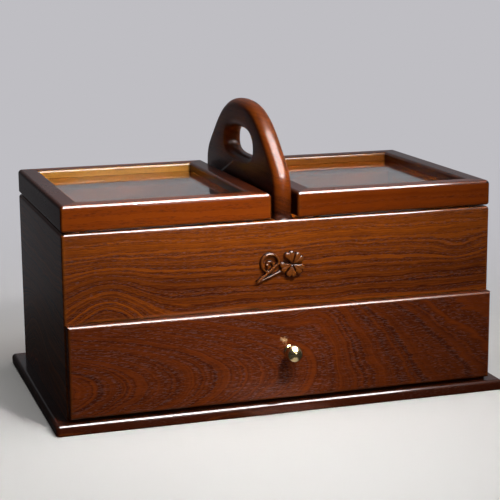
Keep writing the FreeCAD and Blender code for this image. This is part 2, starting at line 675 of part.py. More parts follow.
def build_hinge(name, middle):
    """One butt hinge on the back: two leaves, a pin and four screws round a place on x."""
    half = "( hinge_length / 2 )"
    third = "( hinge_length / 6 )"
    play = "knuckle_gap"
    outer = [(f"{middle} - {half}", f"{middle} - {third}"), (f"{middle} + {third}", f"{middle} + {half}")]
    inner = [(f"{middle} - {third} + {play}", f"{middle} + {third} - {play}")]
    clear = "( knuckle_radius + knuckle_gap )"
    leaf_y = (HALF_DEPTH, f"{HALF_DEPTH} + hinge_leaf")
    bore = cylinder(f"{name}_bore", "pin_radius + pin_play", "hinge_length * 2",
                    f"{middle} - hinge_length", PIN_Y, PIN_Z, Vector(1, 0, 0))

    def stop_heels(label, knuckles):
        """Heels behind the case leaf's knuckles, which the open lid's leaf comes to lie on."""
        heels = []
        for i, (low, high) in enumerate(knuckles):
            heel = document.addObject("Part::Box", f"{label}_heel_{i}")
            heel.Placement = FreeCAD.Placement(Vector(), Rotation(Vector(-1, 0, 0), 10))
            heel_thick = f"{clear} - hinge_leaf - stop_play"
            bind(heel, Length=f"( {high} ) - ( {low} )", Width="stop_reach", Height=heel_thick)
            bind(heel, Placement__Base__x=low, Placement__Base__y=PIN_Y, Placement__Base__z=PIN_Z)
            bind(heel, Placement__Rotation__Angle="( stop_angle - 90 ) * 1 deg")
            heels.append(heel)
        return heels

    def leaf(label, up, knuckles, gaps):
        """A leaf that reaches up (1) or down (-1) from the pin."""
        ends = (f"{PIN_Z}", f"{PIN_Z} + hinge_reach") if up > 0 else (f"{PIN_Z} - hinge_reach", f"{PIN_Z}")
        plate = box(f"{label}_plate", (f"{middle} - {half}", f"{middle} + {half}"), leaf_y, ends)
        round_z = (f"{PIN_Z} - {clear}", f"{PIN_Z} + {clear}")
        windows = [
            box(f"{label}_window_{i}", (f"{low} - {play}", f"{high} + {play}"),
                (f"{HALF_DEPTH} - 1", f"{HALF_DEPTH} + hinge_leaf + 1"), round_z)
            for i, (low, high) in enumerate(gaps)
        ]
        barrels = [
            cylinder(f"{label}_knuckle_{i}", "knuckle_radius", f"( {high} ) - ( {low} )",
                     low, PIN_Y, PIN_Z, Vector(1, 0, 0))
            for i, (low, high) in enumerate(knuckles)
        ]
        heels = stop_heels(label, knuckles) if up < 0 else []
        solid = fuse(f"{label}_solid", cut(f"{label}_cut", plate, *windows), *barrels, *heels)
        return cut(f"{label}_blank", solid, bore)

    def screw_pair(label, up):
        """The two screws of a leaf, whose heads lie level with its face."""
        return [
            countersunk_screw(
                f"{label}_{i}", (f"{middle} + {hand} * hinge_screw_out", leaf_y[1],
                                 f"{PIN_Z} + {up} * hinge_screw_up"), Vector(0, -1, 0),
                "small_screw_radius", "small_head_radius", "small_head_height", "small_screw_length",
            )
            for i, hand in enumerate((-1, 1))
        ]

    case_screws = screw_pair(f"{name}_case_screw", -1)
    lid_screws = screw_pair(f"{name}_lid_screw", 1)
    case_leaf = cut(f"{name}_case_leaf", leaf(f"{name}_case", -1, outer, inner), *case_screws)
    lid_leaf = cut(f"{name}_lid_leaf", leaf(f"{name}_lid", 1, inner, outer), *lid_screws)
    pin = fuse(
        f"{name}_pin",
        cylinder(f"{name}_pin_bar", "pin_radius", "hinge_length + 2 * pin_head_length",
                 f"{middle} - {half} - pin_head_length", PIN_Y, PIN_Z, Vector(1, 0, 0)),
        cylinder(f"{name}_pin_head_0", "pin_head_radius", "pin_head_length",
                 f"{middle} - {half} - pin_head_length", PIN_Y, PIN_Z, Vector(1, 0, 0)),
        cylinder(f"{name}_pin_head_1", "pin_head_radius", "pin_head_length",
                 f"{middle} + {half}", PIN_Y, PIN_Z, Vector(1, 0, 0)),
    )
    return case_leaf, lid_leaf, pin, case_screws, lid_screws


def build_lids_and_hinges(back_blank, back_screws):
    """Both lids with their hinges, and the back panel drilled for them."""
    bores = list(back_screws)
    for hand, side in ((-1, "left"), (1, "right")):
        rails = build_lid(hand, side)
        lid_middle = f"{hand} * ( ( {LID_INNER} + {HALF_WIDTH} ) / 2 )"
        sets = [
            build_hinge(f"{side}_hinge_{i}", f"( {lid_middle} + {way} * hinge_spread )")
            for i, way in enumerate((-1, 1))
        ]
        case_leaves, lid_leaves, pins, case_screws, lid_screws = zip(*sets)
        case_screws = [screw for pair in case_screws for screw in pair]
        lid_screws = [screw for pair in lid_screws for screw in pair]
        bores += case_screws
        keep(group(f"{side}_case_leaves", case_leaves), f"{side}_hinge_case_leaves")
        keep(group(f"{side}_lid_leaves", lid_leaves), f"{side}_hinge_lid_leaves")
        keep(group(f"{side}_pins", pins), f"{side}_hinge_pins")
        keep(group(f"{side}_case_screws", case_screws), f"{side}_hinge_case_screws")
        keep(group(f"{side}_lid_screws", lid_screws), f"{side}_hinge_lid_screws")
        for word, rail in rails.items():
            drilled = cut(f"{side}_back_rail", rail, *lid_screws) if word == "back" else rail
            keep(drilled, f"{side}_lid_{word}_rail")
    keep(cut("back_panel", back_blank, *bores), "back_panel")


def build_knob():
    """Turned ball knob with a neck, a collar and a threaded hole."""
    body = document.addObject("PartDesign::Body", "knob_blank")
    sketch = sketch_on(body, "knob_profile", "YZ_Plane")
    face, up = DRAWER_FACE_Y, "knob_up"
    ball_y = f"( {face} - knob_reach )"
    neck_join = math.sqrt(value("knob_ball") ** 2 - value("knob_neck") ** 2)
    ball_middle = Vector(value(ball_y), value(up), 0)
    join = ball_middle + Vector(neck_join, value("knob_neck"), 0)
    top = ball_middle + Vector(0, value("knob_ball"), 0)
    tip = ball_middle - Vector(value("knob_ball"), 0, 0)
    collar_end = f"( {face} - knob_collar_thick )"

    def point(y, z):
        return Vector(value(y), value(z), 0)

    corners = [
        point(face, up),
        point(face, f"{up} + knob_collar"),
        point(collar_end, f"{up} + knob_collar"),
        point(collar_end, f"{up} + knob_neck"),
        join,
    ]
    for first, last in zip(corners, corners[1:]):
        sketch.addGeometry(Part.LineSegment(first, last), False)
    arc_id = sketch.addGeometry(Part.Arc(join, top, tip), False)
    axis_id = sketch.addGeometry(Part.LineSegment(tip, corners[0]), False)
    for number in range(3):
        sketch.addConstraint(Sketcher.Constraint("Coincident", number, 2, number + 1, 1))
    sketch.addConstraint([
        Sketcher.Constraint("Coincident", 3, 2, arc_id, 1),
        Sketcher.Constraint("Coincident", arc_id, 2, axis_id, 1),
        Sketcher.Constraint("Coincident", axis_id, 2, 0, 1),
        Sketcher.Constraint("Horizontal", 3),
        Sketcher.Constraint("Horizontal", axis_id),
    ])
    pin_point(sketch, 0, 1, (face, up))
    pin_point(sketch, 1, 1, (face, f"{up} + knob_collar"))
    pin_point(sketch, 2, 1, (collar_end, f"{up} + knob_collar"))
    pin_point(sketch, 3, 1, (collar_end, f"{up} + knob_neck"))
    pin_point(sketch, arc_id, 3, (ball_y, up))
    radius_id = sketch.addConstraint(Sketcher.Constraint("Radius", arc_id, value("knob_ball")))
    sketch.setExpression(f"Constraints[{radius_id}]", in_sheet("knob_ball"))
    turned = body.newObject("PartDesign::Revolution", "knob_turned")
    turned.Profile = sketch
    turned.ReferenceAxis = (sketch, [f"Edge{axis_id + 1}"])
    turned.Angle = 360
    document.recompute()
    return body


def build_drawer():
    """Drawer box with an overlaid front, its knob and its screws."""
    # Overlaid front with a rounded face
    body = document.addObject("PartDesign::Body", "drawer_front_blank")
    sketch = sketch_on(body, "drawer_front_outline", "XZ_Plane", minus(DRAWER_FRONT_Y))
    half = f"( {HALF_WIDTH} - drawer_front_inset )"
    low, high = "base_thick + drawer_front_lift", "shelf_bottom - drawer_front_gap"
    outline(sketch, rectangle((minus(half), half), (low, high)))
    pad(body, sketch, "drawer_front_thick")
    face = value(DRAWER_FACE_Y)
    round_edges(body, "drawer_front_edge", "drawer_front_round",
                lambda e: max(abs(e.BoundBox.YMin - face), abs(e.BoundBox.YMax - face)) < NEAR)

    # Screws: one into the knob, two from the inner front into the overlaid front
    inner_face = f"( {DRAWER_FRONT_Y} + drawer_wall )"
    outwards = Vector(0, -1, 0)
    reach = "( drawer_wall + drawer_front_thick + knob_thread )"
    knob_screw = fuse(
        "knob_screw",
        cylinder("knob_screw_shank", "knob_screw_radius", reach, "0", inner_face, "knob_up", outwards),
        cylinder("knob_screw_head", "knob_screw_head", "knob_head_height",
                 "0", f"{inner_face} + knob_head_height", "knob_up", outwards),
    )
    keep(knob_screw, "knob_screw")
    keep(cut("knob", build_knob(), knob_screw), "drawer_knob")
    front_screws = [
        countersunk_screw(
            f"front_screw_{i}", (f"{hand} * front_screw_out", inner_face, "front_screw_height"),
            outwards, "small_screw_radius", "small_head_radius", "small_head_height", "front_screw_length",
        )
        for i, hand in enumerate((-1, 1))
    ]
    keep(group("front_screws", front_screws), "drawer_front_screws")
    keep(cut("drawer_front", body, knob_screw, *front_screws), "drawer_front")

    # The box: grooved all round for its bottom
    inside_x = f"( {DRAWER_X} - drawer_wall )"
    bottom_low = f"( {DRAWER_BOTTOM} + drawer_bottom_up )"
    bottom_z = (bottom_low, f"{bottom_low} + drawer_bottom_thick")
    bottom_x = f"( {inside_x} + drawer_groove )"
    bottom_y = (f"{inner_face} - drawer_groove", f"{DRAWER_BACK_Y} - drawer_wall + drawer_groove")
    bottom = box("drawer_bottom", (minus(bottom_x), bottom_x), bottom_y, bottom_z)
    keep(bottom, "drawer_bottom")
    wall_z = (DRAWER_BOTTOM, DRAWER_TOP)
    for hand, side in ((-1, "left"), (1, "right")):
        blank = box(f"drawer_{side}_blank", side_span(hand, inside_x, DRAWER_X),
                    (DRAWER_FRONT_Y, DRAWER_BACK_Y), wall_z)
        keep(cut(f"drawer_{side}", blank, bottom), f"drawer_{side}_side")
    across = (minus(inside_x), inside_x)
    inner_front = box("inner_front_blank", across, (DRAWER_FRONT_Y, inner_face), wall_z)
    keep(cut("inner_front", inner_front, bottom, knob_screw, *front_screws), "drawer_inner_front")
    back_y = (f"{DRAWER_BACK_Y} - drawer_wall", DRAWER_BACK_Y)
    back = box("drawer_back_blank", across, back_y, wall_z)
    keep(cut("drawer_back", back, bottom), "drawer_back")


def build_clover():
    """Carved clover: heart-shaped leaves round a middle, standing on the front panel."""
    thick, count = value("clover_thick"), int(value("leaf_count"))
    middle = Vector(value("clover_x"), -value(HALF_DEPTH), value("clover_z"))
    towards_face = Rotation(Vector(1, 0, 0), 90)
    lobe, lobe_out, half_apart = value("lobe_radius"), value("lobe_out"), value("lobe_apart") / 2
    stalk = [Vector(), Vector(lobe_out, half_apart + lobe), Vector(lobe_out, -half_apart - lobe), Vector()]
    wedge = Part.Face(Part.makePolygon(stalk)).extrude(Vector(0, 0, thick))
    lobes = [
        Part.makeCylinder(lobe, thick, Vector(lobe_out, way * half_apart, 0)) for way in (-1, 1)
    ]
    leaf = wedge.multiFuse(lobes)
    leaves = []
    for number in range(count):
        turned = Rotation(Vector(0, 0, 1), value("leaf_first") + 360 * number / count)
        copy = leaf.copy()
        copy.Placement = FreeCAD.Placement(middle, towards_face * turned)
        leaves.append(copy)
    heart = Part.makeCylinder(value("clover_heart"), thick, middle, Vector(0, -1, 0))
    clover = document.addObject("Part::Feature", "clover_shape")
    clover.Shape = heart.multiFuse(leaves).removeSplitter()
    return keep(clover, "clover")


def build_tendril(clover):
    """Curled tendril that ends at the clover: a band along a line and shrinking arcs."""
    half, thick = value("stem_radius"), value("stem_thick")
    tail = Vector(value("tail_x"), value("tail_z"), 0)
    ring = Vector(value("curl_x"), value("curl_z"), 0)

    def heading(degrees):
        return Vector(math.cos(math.radians(degrees)), math.sin(math.radians(degrees)), 0)

    def turn(centre, radius, first, last):
        """An arc round a centre between two angles."""
        points = [centre + heading(first + (last - first) * part / 2) * radius for part in range(3)]
        return Part.Arc(*points).toShape()

    def band(edges):
        """A raised band along joined edges."""
        return Part.Face(Part.Wire(edges).makeOffset2D(half)).extrude(Vector(0, 0, thick))

    # The strand from the tail bends into the curl a little above the curl's right end
    outer, inner, core = value("curl_outer"), value("curl_inner"), value("curl_core")
    bend = value("bend_radius")
    bend_middle = ring + heading(CURL_START) * (outer - bend)
    reach = bend_middle - tail
    slope = math.degrees(math.atan2(reach.y, reach.x) - math.asin(bend / reach.Length))
    strand_end = bend_middle + heading(slope - 90) * bend
    strand = band([
        Part.LineSegment(tail, strand_end).toShape(),
        turn(bend_middle, bend, slope - 90, CURL_START),
    ])
    inner_middle = ring + heading(CURL_SECOND) * (outer - inner)
    core_middle = inner_middle + heading(CURL_THIRD) * (inner - core)
    curl = band([
        turn(ring, outer, CURL_START, CURL_SECOND),
        turn(inner_middle, inner, CURL_SECOND, CURL_THIRD),
        turn(core_middle, core, CURL_THIRD, CURL_END),
    ])
    clover_middle = Vector(value("clover_x"), value("clover_z"), 0)
    lower_end = tail + (clover_middle - tail) * value("lower_strand_share")
    side = (clover_middle - tail).cross(Vector(0, 0, 1)).normalize() * half
    corners = [tail + side, lower_end + side, lower_end - side, tail - side, tail + side]
    lower = Part.Face(Part.makePolygon(corners)).extrude(Vector(0, 0, thick))
    bud_middle = core_middle + heading(CURL_END) * core
    bud = Part.makeCylinder(value("bud_radius"), thick, bud_middle)
    shape = strand.multiFuse([curl, lower]).removeSplitter().fuse(bud).removeSplitter()
    shape.Placement = FreeCAD.Placement(Vector(0, -value(HALF_DEPTH), 0), Rotation(Vector(1, 0, 0), 90))
    tendril = document.addObject("Part::Feature", "tendril_shape")
    tendril.Shape = shape.cut(clover.Shape)
    keep(tendril, "tendril")


back_panel_blank, back_panel_screws = build_case()
build_lids_and_hinges(back_panel_blank, back_panel_screws)
build_drawer()
build_tendril(build_clover())
document.recompute()

# Every object is sound before anything is written
for item in document.Objects:
    if "Invalid" in item.State or "Error" in item.State:
        raise RuntimeError(f"{item.Name} failed: {item.State}")
for item in SUBPARTS:
    if item.Shape.isNull() or not item.Shape.isValid() or not item.Shape.Solids:
        raise RuntimeError(f"{item.Label} has no sound solid")

os.makedirs("parts", exist_ok=True)
for item in SUBPARTS:
    item.Shape.exportStep(f"parts/{item.Label}.step")
    print(item.Label, len(item.Shape.Solids), round(item.Shape.Volume, 1))
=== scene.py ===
"""Wooden sewing box: the looks of the case, its lids, its drawer and its fittings.

The file is laid out as an add-on and run as a script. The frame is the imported
part: metres, +Z up, the front faces -Y, the origin is on the ground.
"""

import math

import bmesh
import bpy
from bpy.props import FloatProperty, FloatVectorProperty, PointerProperty
from mathutils import Matrix, Vector


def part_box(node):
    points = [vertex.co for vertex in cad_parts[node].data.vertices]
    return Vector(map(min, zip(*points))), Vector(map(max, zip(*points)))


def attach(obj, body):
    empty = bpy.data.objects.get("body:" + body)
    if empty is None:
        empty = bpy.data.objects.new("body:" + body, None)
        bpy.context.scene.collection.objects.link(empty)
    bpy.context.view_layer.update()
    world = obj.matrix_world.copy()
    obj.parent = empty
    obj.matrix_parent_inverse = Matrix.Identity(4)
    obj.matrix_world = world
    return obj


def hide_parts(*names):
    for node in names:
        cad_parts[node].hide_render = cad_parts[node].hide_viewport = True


bl_info = {
    "name": "Wooden sewing box",
    "version": (1, 0, 0),
    "blender": (4, 5, 0),
    "location": "3D View > Sidebar > Sewing Box",
    "description": "Finishes and fine pieces of a wooden sewing box with a drawer and two lids",
    "category": "Object",
}

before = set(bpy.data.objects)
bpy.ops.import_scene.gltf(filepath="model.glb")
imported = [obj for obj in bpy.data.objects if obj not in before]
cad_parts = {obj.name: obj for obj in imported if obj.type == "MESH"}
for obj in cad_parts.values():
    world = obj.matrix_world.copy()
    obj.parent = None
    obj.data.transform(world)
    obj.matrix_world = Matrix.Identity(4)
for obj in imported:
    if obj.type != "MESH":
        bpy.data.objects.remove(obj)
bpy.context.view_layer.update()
MM = 0.001


def linear(code):
    """Linear colour of a six-digit screen colour."""
    levels = [int(code[i:i + 2], 16) / 255 for i in (0, 2, 4)]
    return tuple(v / 12.92 if v <= 0.04045 else ((v + 0.055) / 1.055) ** 2.4 for v in levels)


# Settings


def colour(name, description, shade):
    """A colour setting, from a six-digit screen colour or three linear levels."""
    default = linear(shade) if isinstance(shade, str) else shade
    return FloatVectorProperty(name=name, description=description, subtype="COLOR", size=3,
                               min=0, max=1, default=default)


def length(name, description, millimetres):
    """A length setting."""
    return FloatProperty(name=name, description=description, default=millimetres * MM,
                         min=0, precision=5, unit="LENGTH")


def share(name, description, default):
    """A setting from 0 to 1."""
    return FloatProperty(name=name, description=description, default=default,
                         min=0, max=1, subtype="FACTOR")


def power(name, description, watts):
    """A lamp's power setting."""
    return FloatProperty(name=name, description=description, default=watts, min=0, unit="POWER")


class SEWINGBOX_PG_finish(bpy.types.PropertyGroup):
    """Colours and wear of the box's materials."""

    case_dark: colour("Case, dark grain", "Stain in the porous grain", (0.085, 0.013, 0.002))
    case_light: colour("Case, light grain", "Stain on the dense grain", (0.50, 0.108, 0.005))
    # The pores' colour is a painted glint: a pale lilac that stands for light caught in the open
    # pores.
    case_pore_glint: colour("Case, pores", "Glint of the open pores", (0.30, 0.155, 0.12))
    lid_dark: colour("Lids, dark grain", "Darker streaks of the lids", (0.20, 0.028, 0.001))
    lid_light: colour("Lids, light grain", "Lighter streaks of the lids", (0.46, 0.085, 0.004))
    inner_dark: colour("Inside, dark grain", "Darker streaks of the pale inner wood", "8c6238")
    inner_light: colour("Inside, light grain", "Lighter streaks of the pale inner wood", "c79c68")
    # Rubbed edges are real wear along the boards' edges; the same colour is also a painted
    # highlight on the carved ornament's raised tops.
    worn_edge_and_highlight: colour("Rubbed edges", "Wood where the stain is rubbed thin", "b4631c")
    # The thin stain is partly a painted highlight: golden wood where light falls on the back rails
    # beside the panes.
    thin_stain_and_highlight: colour("Thin stain", "Golden wood where the stain runs thin beside the panes",
                       "e9a748")
    wear: share("Edge wear", "How much the stain is rubbed along the edges", 0.35)
    brass: colour("Brass", "Polished brass of the knob", "e6cf9a")
    old_brass: colour("Hinge brass", "Satin brass of the hinges", "d8ae5c")
    steel: colour("Screws", "Zinc plated steel screws", "a9abad")
    felt: colour("Felt", "Felt pads on the rim", "3a2418")
    glass: colour("Glass", "Tint of the panes", "eef4f1")


class SEWINGBOX_PG_measures(bpy.types.PropertyGroup):
    """Sizes of the fine pieces and of the marks on the wood."""

    handle_round: length("Handle rounding", "Radius of the handle's rounded edges", 6.5)
    hole_round: length("Hole rounding", "Radius of the finger hole's rounded edges", 6.0)
    leaf_rise: length("Clover leaves", "How far the clover's leaves stand out", 3.5)
    strand_half: length("Tendril", "Half the width of the tendril's curled strand", 1.2)
    knob_radius: length("Knob", "Radius of the knob's ball", 6.6)
    wear_width: length("Edge wear", "Width of the rubbed band along the edges", 2.6)
    mitre_width: length("Mitres", "Half the width of the dark line in a mitred corner", 0.35)


class SEWINGBOX_PG_stage(bpy.types.PropertyGroup):
    """Camera, light and backdrop."""

    lens: FloatProperty(name="Lens", description="Focal length on a 36 mm sensor",
                        default=105.57, min=20, max=300)
    backdrop: colour("Backdrop", "Colour of the wall", "bfbec3")
    floor: colour("Floor", "Colour of the floor", "e2e0dd")
    front: power("Front light", "Power of the soft light in front", 0.05)
    key: power("Key light", "Power of the light above and in front", 0.50)
    strip: power("Strip light", "Power of the light that is mirrored in the edges", 58.8)
    overhead: power("Floor light", "Power of the soft light on the floor", 14.0)
    fill: power("Back light", "Power of the soft light on the back and the right side", 1.0)
    world: share("Room light", "Strength of the light from all round", 0.04)


def finish():
    """The finish settings."""
    return bpy.context.scene.sewing_box_finish


def measures():
    """The size settings."""
    return bpy.context.scene.sewing_box_measures


def stage():
    """The stage settings."""
    return bpy.context.scene.sewing_box_stage


# Shader tools


class Signal:
    """A node's output. Sums and products of signals add the nodes that work them out."""

    def __init__(self, net, socket):
        self.net, self.socket = net, socket

    def __add__(self, other):
        return self.net.math("ADD", self, other)

    def __sub__(self, other):
        return self.net.math("SUBTRACT", self, other)

    def __rsub__(self, other):
        return self.net.math("SUBTRACT", other, self)

    def __mul__(self, other):
        return self.net.math("MULTIPLY", self, other)

    def __truediv__(self, other):
        return self.net.math("DIVIDE", self, other)


class Net:
    """Adds and joins the nodes of one tree."""

    def __init__(self, tree):
        self.tree = tree

    def feed(self, socket, value):
        """Sets a socket, or joins a signal to it."""
        if isinstance(value, Signal):
            self.tree.links.new(value.socket, socket)
        elif socket.type == "RGBA":
            socket.default_value = (*value, 1)
        else:
            socket.default_value = value

    def fill(self, node, inputs):
        """Feeds a node's inputs, given by name or number."""
        for key, value in inputs.items():
            self.feed(node.inputs[key], value)

    def add(self, kind, inputs, **settings):
        """A node with its settings and inputs."""
        node = self.tree.nodes.new(kind)
        for name, value in settings.items():
            setattr(node, name, value)
        self.fill(node, inputs)
        return node

    def out(self, kind, inputs, output=0, **settings):
        """One output of a new node."""
        return Signal(self, self.add(kind, inputs, **settings).outputs[output])

    def outs(self, kind, inputs, **settings):
        """All outputs of a new node by their names."""
        node = self.add(kind, inputs, **settings)
        return {socket.name: Signal(self, socket) for socket in node.outputs}

    def math(self, operation, *values, clamp=False):
        """A sum, product or other number."""
        return self.out("ShaderNodeMath", dict(enumerate(values)),
                        operation=operation, use_clamp=clamp)

    def vector(self, operation, *values):
        """A vector made from others."""
        return self.out("ShaderNodeVectorMath", dict(enumerate(values)), operation=operation)

    def place(self):
        """Place on the object."""
        return self.out("ShaderNodeTexCoord", {}, "Object")

    def millimetres(self, place):
        """A place in millimetres."""
        return self.out("ShaderNodeVectorMath", {0: place, "Scale": 1000.0}, operation="SCALE")

    def parts(self, vector):
        """The three numbers of a vector."""
        return list(self.outs("ShaderNodeSeparateXYZ", {0: vector}).values())

    def join(self, x, y, z):
        """A vector from three numbers."""
        return self.out("ShaderNodeCombineXYZ", {"X": x, "Y": y, "Z": z})

    def noise(self, place, sizes=None, **inputs):
        """Noise with grains of the given sizes along the three axes."""
        if sizes:
            place = self.vector("MULTIPLY", place, tuple(1 / size for size in sizes))
        values = {"Vector": place, "Scale": 1.0, "Detail": 2.0, "Roughness": 0.5}
        values.update({key.title(): value for key, value in inputs.items()})
        return self.out("ShaderNodeTexNoise", values)

    def step(self, value, low, high, start=0.0, end=1.0):
        """A smooth change from start to end while value runs from low to high."""
        return self.out("ShaderNodeMapRange", dict(enumerate((value, low, high, start, end))),
                        interpolation_type="SMOOTHSTEP")

    def fall(self, value, low, high):
        """A smooth change from 1 to 0 while value runs from low to high."""
        return self.step(value, low, high, 1.0, 0.0)

    def mix(self, factor, first, second):
        """Two colours mixed: the node's inputs 6 and 7 and its output 2 are the colours."""
        return self.out("ShaderNodeMix", {0: factor, 6: first, 7: second}, 2, data_type="RGBA")


KINDS = {"vector": "NodeSocketVector", "value": "NodeSocketFloat", "colour": "NodeSocketColor"}


def shader_group(name, inputs, outputs):
    """An empty shader group, as its tree, its net, its input signals and its output node.

    Each socket's name comes with its kind, or with a number, which is a value's default.
    """
    tree = bpy.data.node_groups.new(name, "ShaderNodeTree")
    for way, sockets in (("INPUT", inputs), ("OUTPUT", outputs)):
        for label, kind in sockets.items():
            socket = tree.interface.new_socket(
                label, in_out=way, socket_type=KINDS.get(kind, "NodeSocketFloat"))
            if kind not in KINDS:
                socket.default_value = kind
    net = Net(tree)
    return tree, net, net.outs("NodeGroupInput", {}), net.add("NodeGroupOutput", {})


def ring_space(net, given, along, across):
    """A board's place in millimetres, its three numbers, and the rings' slow drift."""
    place = net.millimetres(given["Vector"])
    slow = net.noise(place, (along, across, across))
    return place, net.parts(place), (slow - 0.5) * (given["Wander"] * 4.0)


def figure_group():
    """Distance across the rings of a board, in millimetres: level lines with a hump and an eye."""
    tree, net, given, out = shader_group(
        "board_figure",
        {"Vector": "vector", "Hump Along": 0.0, "Hump Level": 0.0, "Hump Height": 15.0,
         "Hump Length": 40.0, "Hump Reach": 40.0, "Eye Along": 500.0, "Eye Across": 0.0,
         "Eye Height": 7.0, "Wander": 3.0},
        {"Rings": "value", "Place": "vector"},
    )
    eye_half_length, eye_half_width = 20.0, 10.0
    place, (along, across, through), drift = ring_space(net, given, 75, 30)
    far = (along - given["Hump Along"]) / given["Hump Length"]
    hill = net.math("EXPONENT", far * far * -1.0)
    climb = (across - given["Hump Level"]) / given["Hump Reach"]
    hump = hill * net.fall(climb, 0.0, 1.0) * given["Hump Height"]
    beside = (along - given["Eye Along"]) / eye_half_length
    above = (across - given["Eye Across"]) / eye_half_width
    near_eye = net.math("EXPONENT", (beside * beside + above * above) * -1.0)
    rings = across + drift - hump + near_eye * given["Eye Height"]
    net.fill(out, {"Rings": rings + through * 0.4, "Place": place})
    return tree


def crescent_group():
    """Distance across the rings of a wild board: nested crescents beside a fan."""
    tree, net, given, out = shader_group(
        "crescent_figure",
        {"Vector": "vector", "Heart Along": -170.0, "Heart Across": 31.0, "Slope": 0.6,
         "Squeeze": 3.8, "Fan Along": 17.0, "Fan Across": 79.0, "Fan Rings": 58.0,
         "Fan Core": 26.0, "Wander": 3.0},
        {"Rings": "value", "Place": "vector"},
    )
    place, (along, across, through), drift = ring_space(net, given, 45, 28)
    inward = (along - given["Heart Along"]) * given["Slope"]
    beside = (across - given["Heart Across"]) * given["Squeeze"]
    seam = (given["Fan Along"] - given["Heart Along"]) * given["Slope"]
    crescents = net.math("SQRT", inward * inward + beside * beside) - seam
    right = along - given["Fan Along"]
    down = given["Fan Across"] - across
    turn = math.pi / 2 - net.math("ARCTAN2", down, right)
    away = net.math("SQRT", right * right + down * down)
    fan = turn * (away / (away + given["Fan Core"])) * given["Fan Rings"] + away * 0.12
    share_right = net.step(along, -8.0, 46.0)
    rings = fan * share_right + crescents * (1.0 - share_right)
    net.fill(out, {"Rings": rings + drift + through * 0.4, "Place": place})
    return tree


def grain_group():
    """Open-pored wood: irregular rings, thin bright lines of dense wood, pores along the grain
    with a painted glint.
    """
    tree, net, given, out = shader_group(
        "wood_grain",
        {"Rings": "value", "Place": "vector", "Dark": "colour", "Light": "colour",
         "Pore Glint": "colour", "Pore Amount": 0.5, "Contrast": 1.0, "Tone": 0.35, "Lift": 0.0,
         "Lift Level": 100.0, "Ring Scale": 1.0, "Streaks": 0.5, "Lines": 0.4, "Bands": 0.5,
         "Fine": 1.7},
        {"Color": "colour", "Height": "value", "Gloss Loss": "value"},
    )
    place = given["Place"]
    quiver = net.noise(place, (11, 3.2, 3.2))
    fibre = net.noise(place, (24, 0.8, 0.8), detail=3.0)
    ragged = (quiver - 0.5) * 2.6 + given["Rings"] + (fibre - 0.5) * 1.6
    ragged = ragged * given["Ring Scale"]

    def rings_noise(scale, detail, start):
        """Noise that changes only from ring to ring."""
        return net.out("ShaderNodeTexNoise",
                       {"W": ragged * scale + start, "Scale": 1.0, "Detail": detail},
                       noise_dimensions="1D")

    fine = rings_noise(0.52, 2.0, 17.0)
    broad = rings_noise(0.15, 1.0, 5.0)
    line = net.step(rings_noise(0.21, 1.0, 61.0), 0.59, 0.68)
    porous = net.step(broad, 0.42, 0.56)
    blotch = net.noise(place, (60, 26, 26))
    swing = ((fine - 0.5) * given["Fine"] - (broad - 0.5) * given["Bands"]
             + line * given["Lines"] + (quiver - 0.5) * 0.5
             + (fibre - 0.5) * given["Streaks"] + (blotch - 0.5) * 0.8)
    # Lift makes the board lighter above Lift Level; on the handle it is painted light from above.
    raised = net.step(net.parts(place)[1] - given["Lift Level"], -8.0, 30.0)
    tone = net.math("MULTIPLY_ADD", swing, given["Contrast"],
                    raised * given["Lift"] + given["Tone"], clamp=True)
    stained = net.mix(tone, given["Dark"], given["Light"])
    specks = net.noise(place, (3.4, 0.5, 0.5), detail=1.0)
    elsewhere = net.vector("MULTIPLY_ADD", place, (1 / 4.2, 1 / 0.45, 1 / 0.45), (31, 7, 3))
    where = (porous * 0.75 + 0.25) * (line * -0.6 + 1.0)
    pores = net.step(specks, 0.52, 0.66) * where
    pits = net.step(net.noise(elsewhere, detail=1.0), 0.54, 0.66) * where
    pit_shade = net.mix(0.6, given["Dark"], (0.01, 0.003, 0.002))
    pitted = net.mix(pits * 0.55, stained, pit_shade)
    # The pores are mixed towards the pore colour, a painted glint of light in the open pores.
    net.fill(out, {
        "Color": net.mix(pores * given["Pore Amount"], pitted, given["Pore Glint"]),
        "Height": fibre * 0.25 - (pits + pores * 0.5),
        "Gloss Loss": pores * 0.5 + blotch * 0.3})
    return tree


BOX_INPUTS = {"Vector": "vector", "Centre": "vector", "Half Size": "vector", "Width": 0.002}


def inside_faces(net, given):
    """Distances inside a box's faces along x, y and z."""
    away = net.vector("ABSOLUTE", net.vector("SUBTRACT", given["Vector"], given["Centre"]))
    return net.parts(net.vector("SUBTRACT", given["Half Size"], away))


def edge_group():
    """Mask of a board's edges: 1 where two of its faces meet, 0 inside its faces."""
    tree, net, given, out = shader_group("edge_wear", BOX_INPUTS,
                                         {"Mask": "value", "Inside": "value"})
    x, y, z = (net.fall(gap / given["Width"], 0.0, 1.0) for gap in inside_faces(net, given))
    most = net.math("MAXIMUM", net.math("MAXIMUM", x * y, y * z), x * z)
    rubbed = net.noise(net.millimetres(given["Vector"]), scale=0.06, detail=3.0)
    net.fill(out, {"Mask": most * net.step(rubbed, 0.25, 0.65, 0.35, 1.0),
                   "Inside": 1.0 - net.math("MULTIPLY", most, 4.0, clamp=True)})
    return tree


def mitre_group():
    """Mask of the fine dark line of a frame's mitred corners."""
    tree, net, given, out = shader_group("mitre_line", BOX_INPUTS, {"Mask": "value"})
    x, y, _ = inside_faces(net, given)
    gap = net.math("ABSOLUTE", x - y)
    net.fill(out, {"Mask": net.fall(gap / given["Width"], 0.3, 1.0)})
    return tree


MAKERS = {"board_figure": figure_group, "crescent_figure": crescent_group,
          "wood_grain": grain_group, "edge_wear": edge_group, "mitre_line": mitre_group}
GROUPS = {}


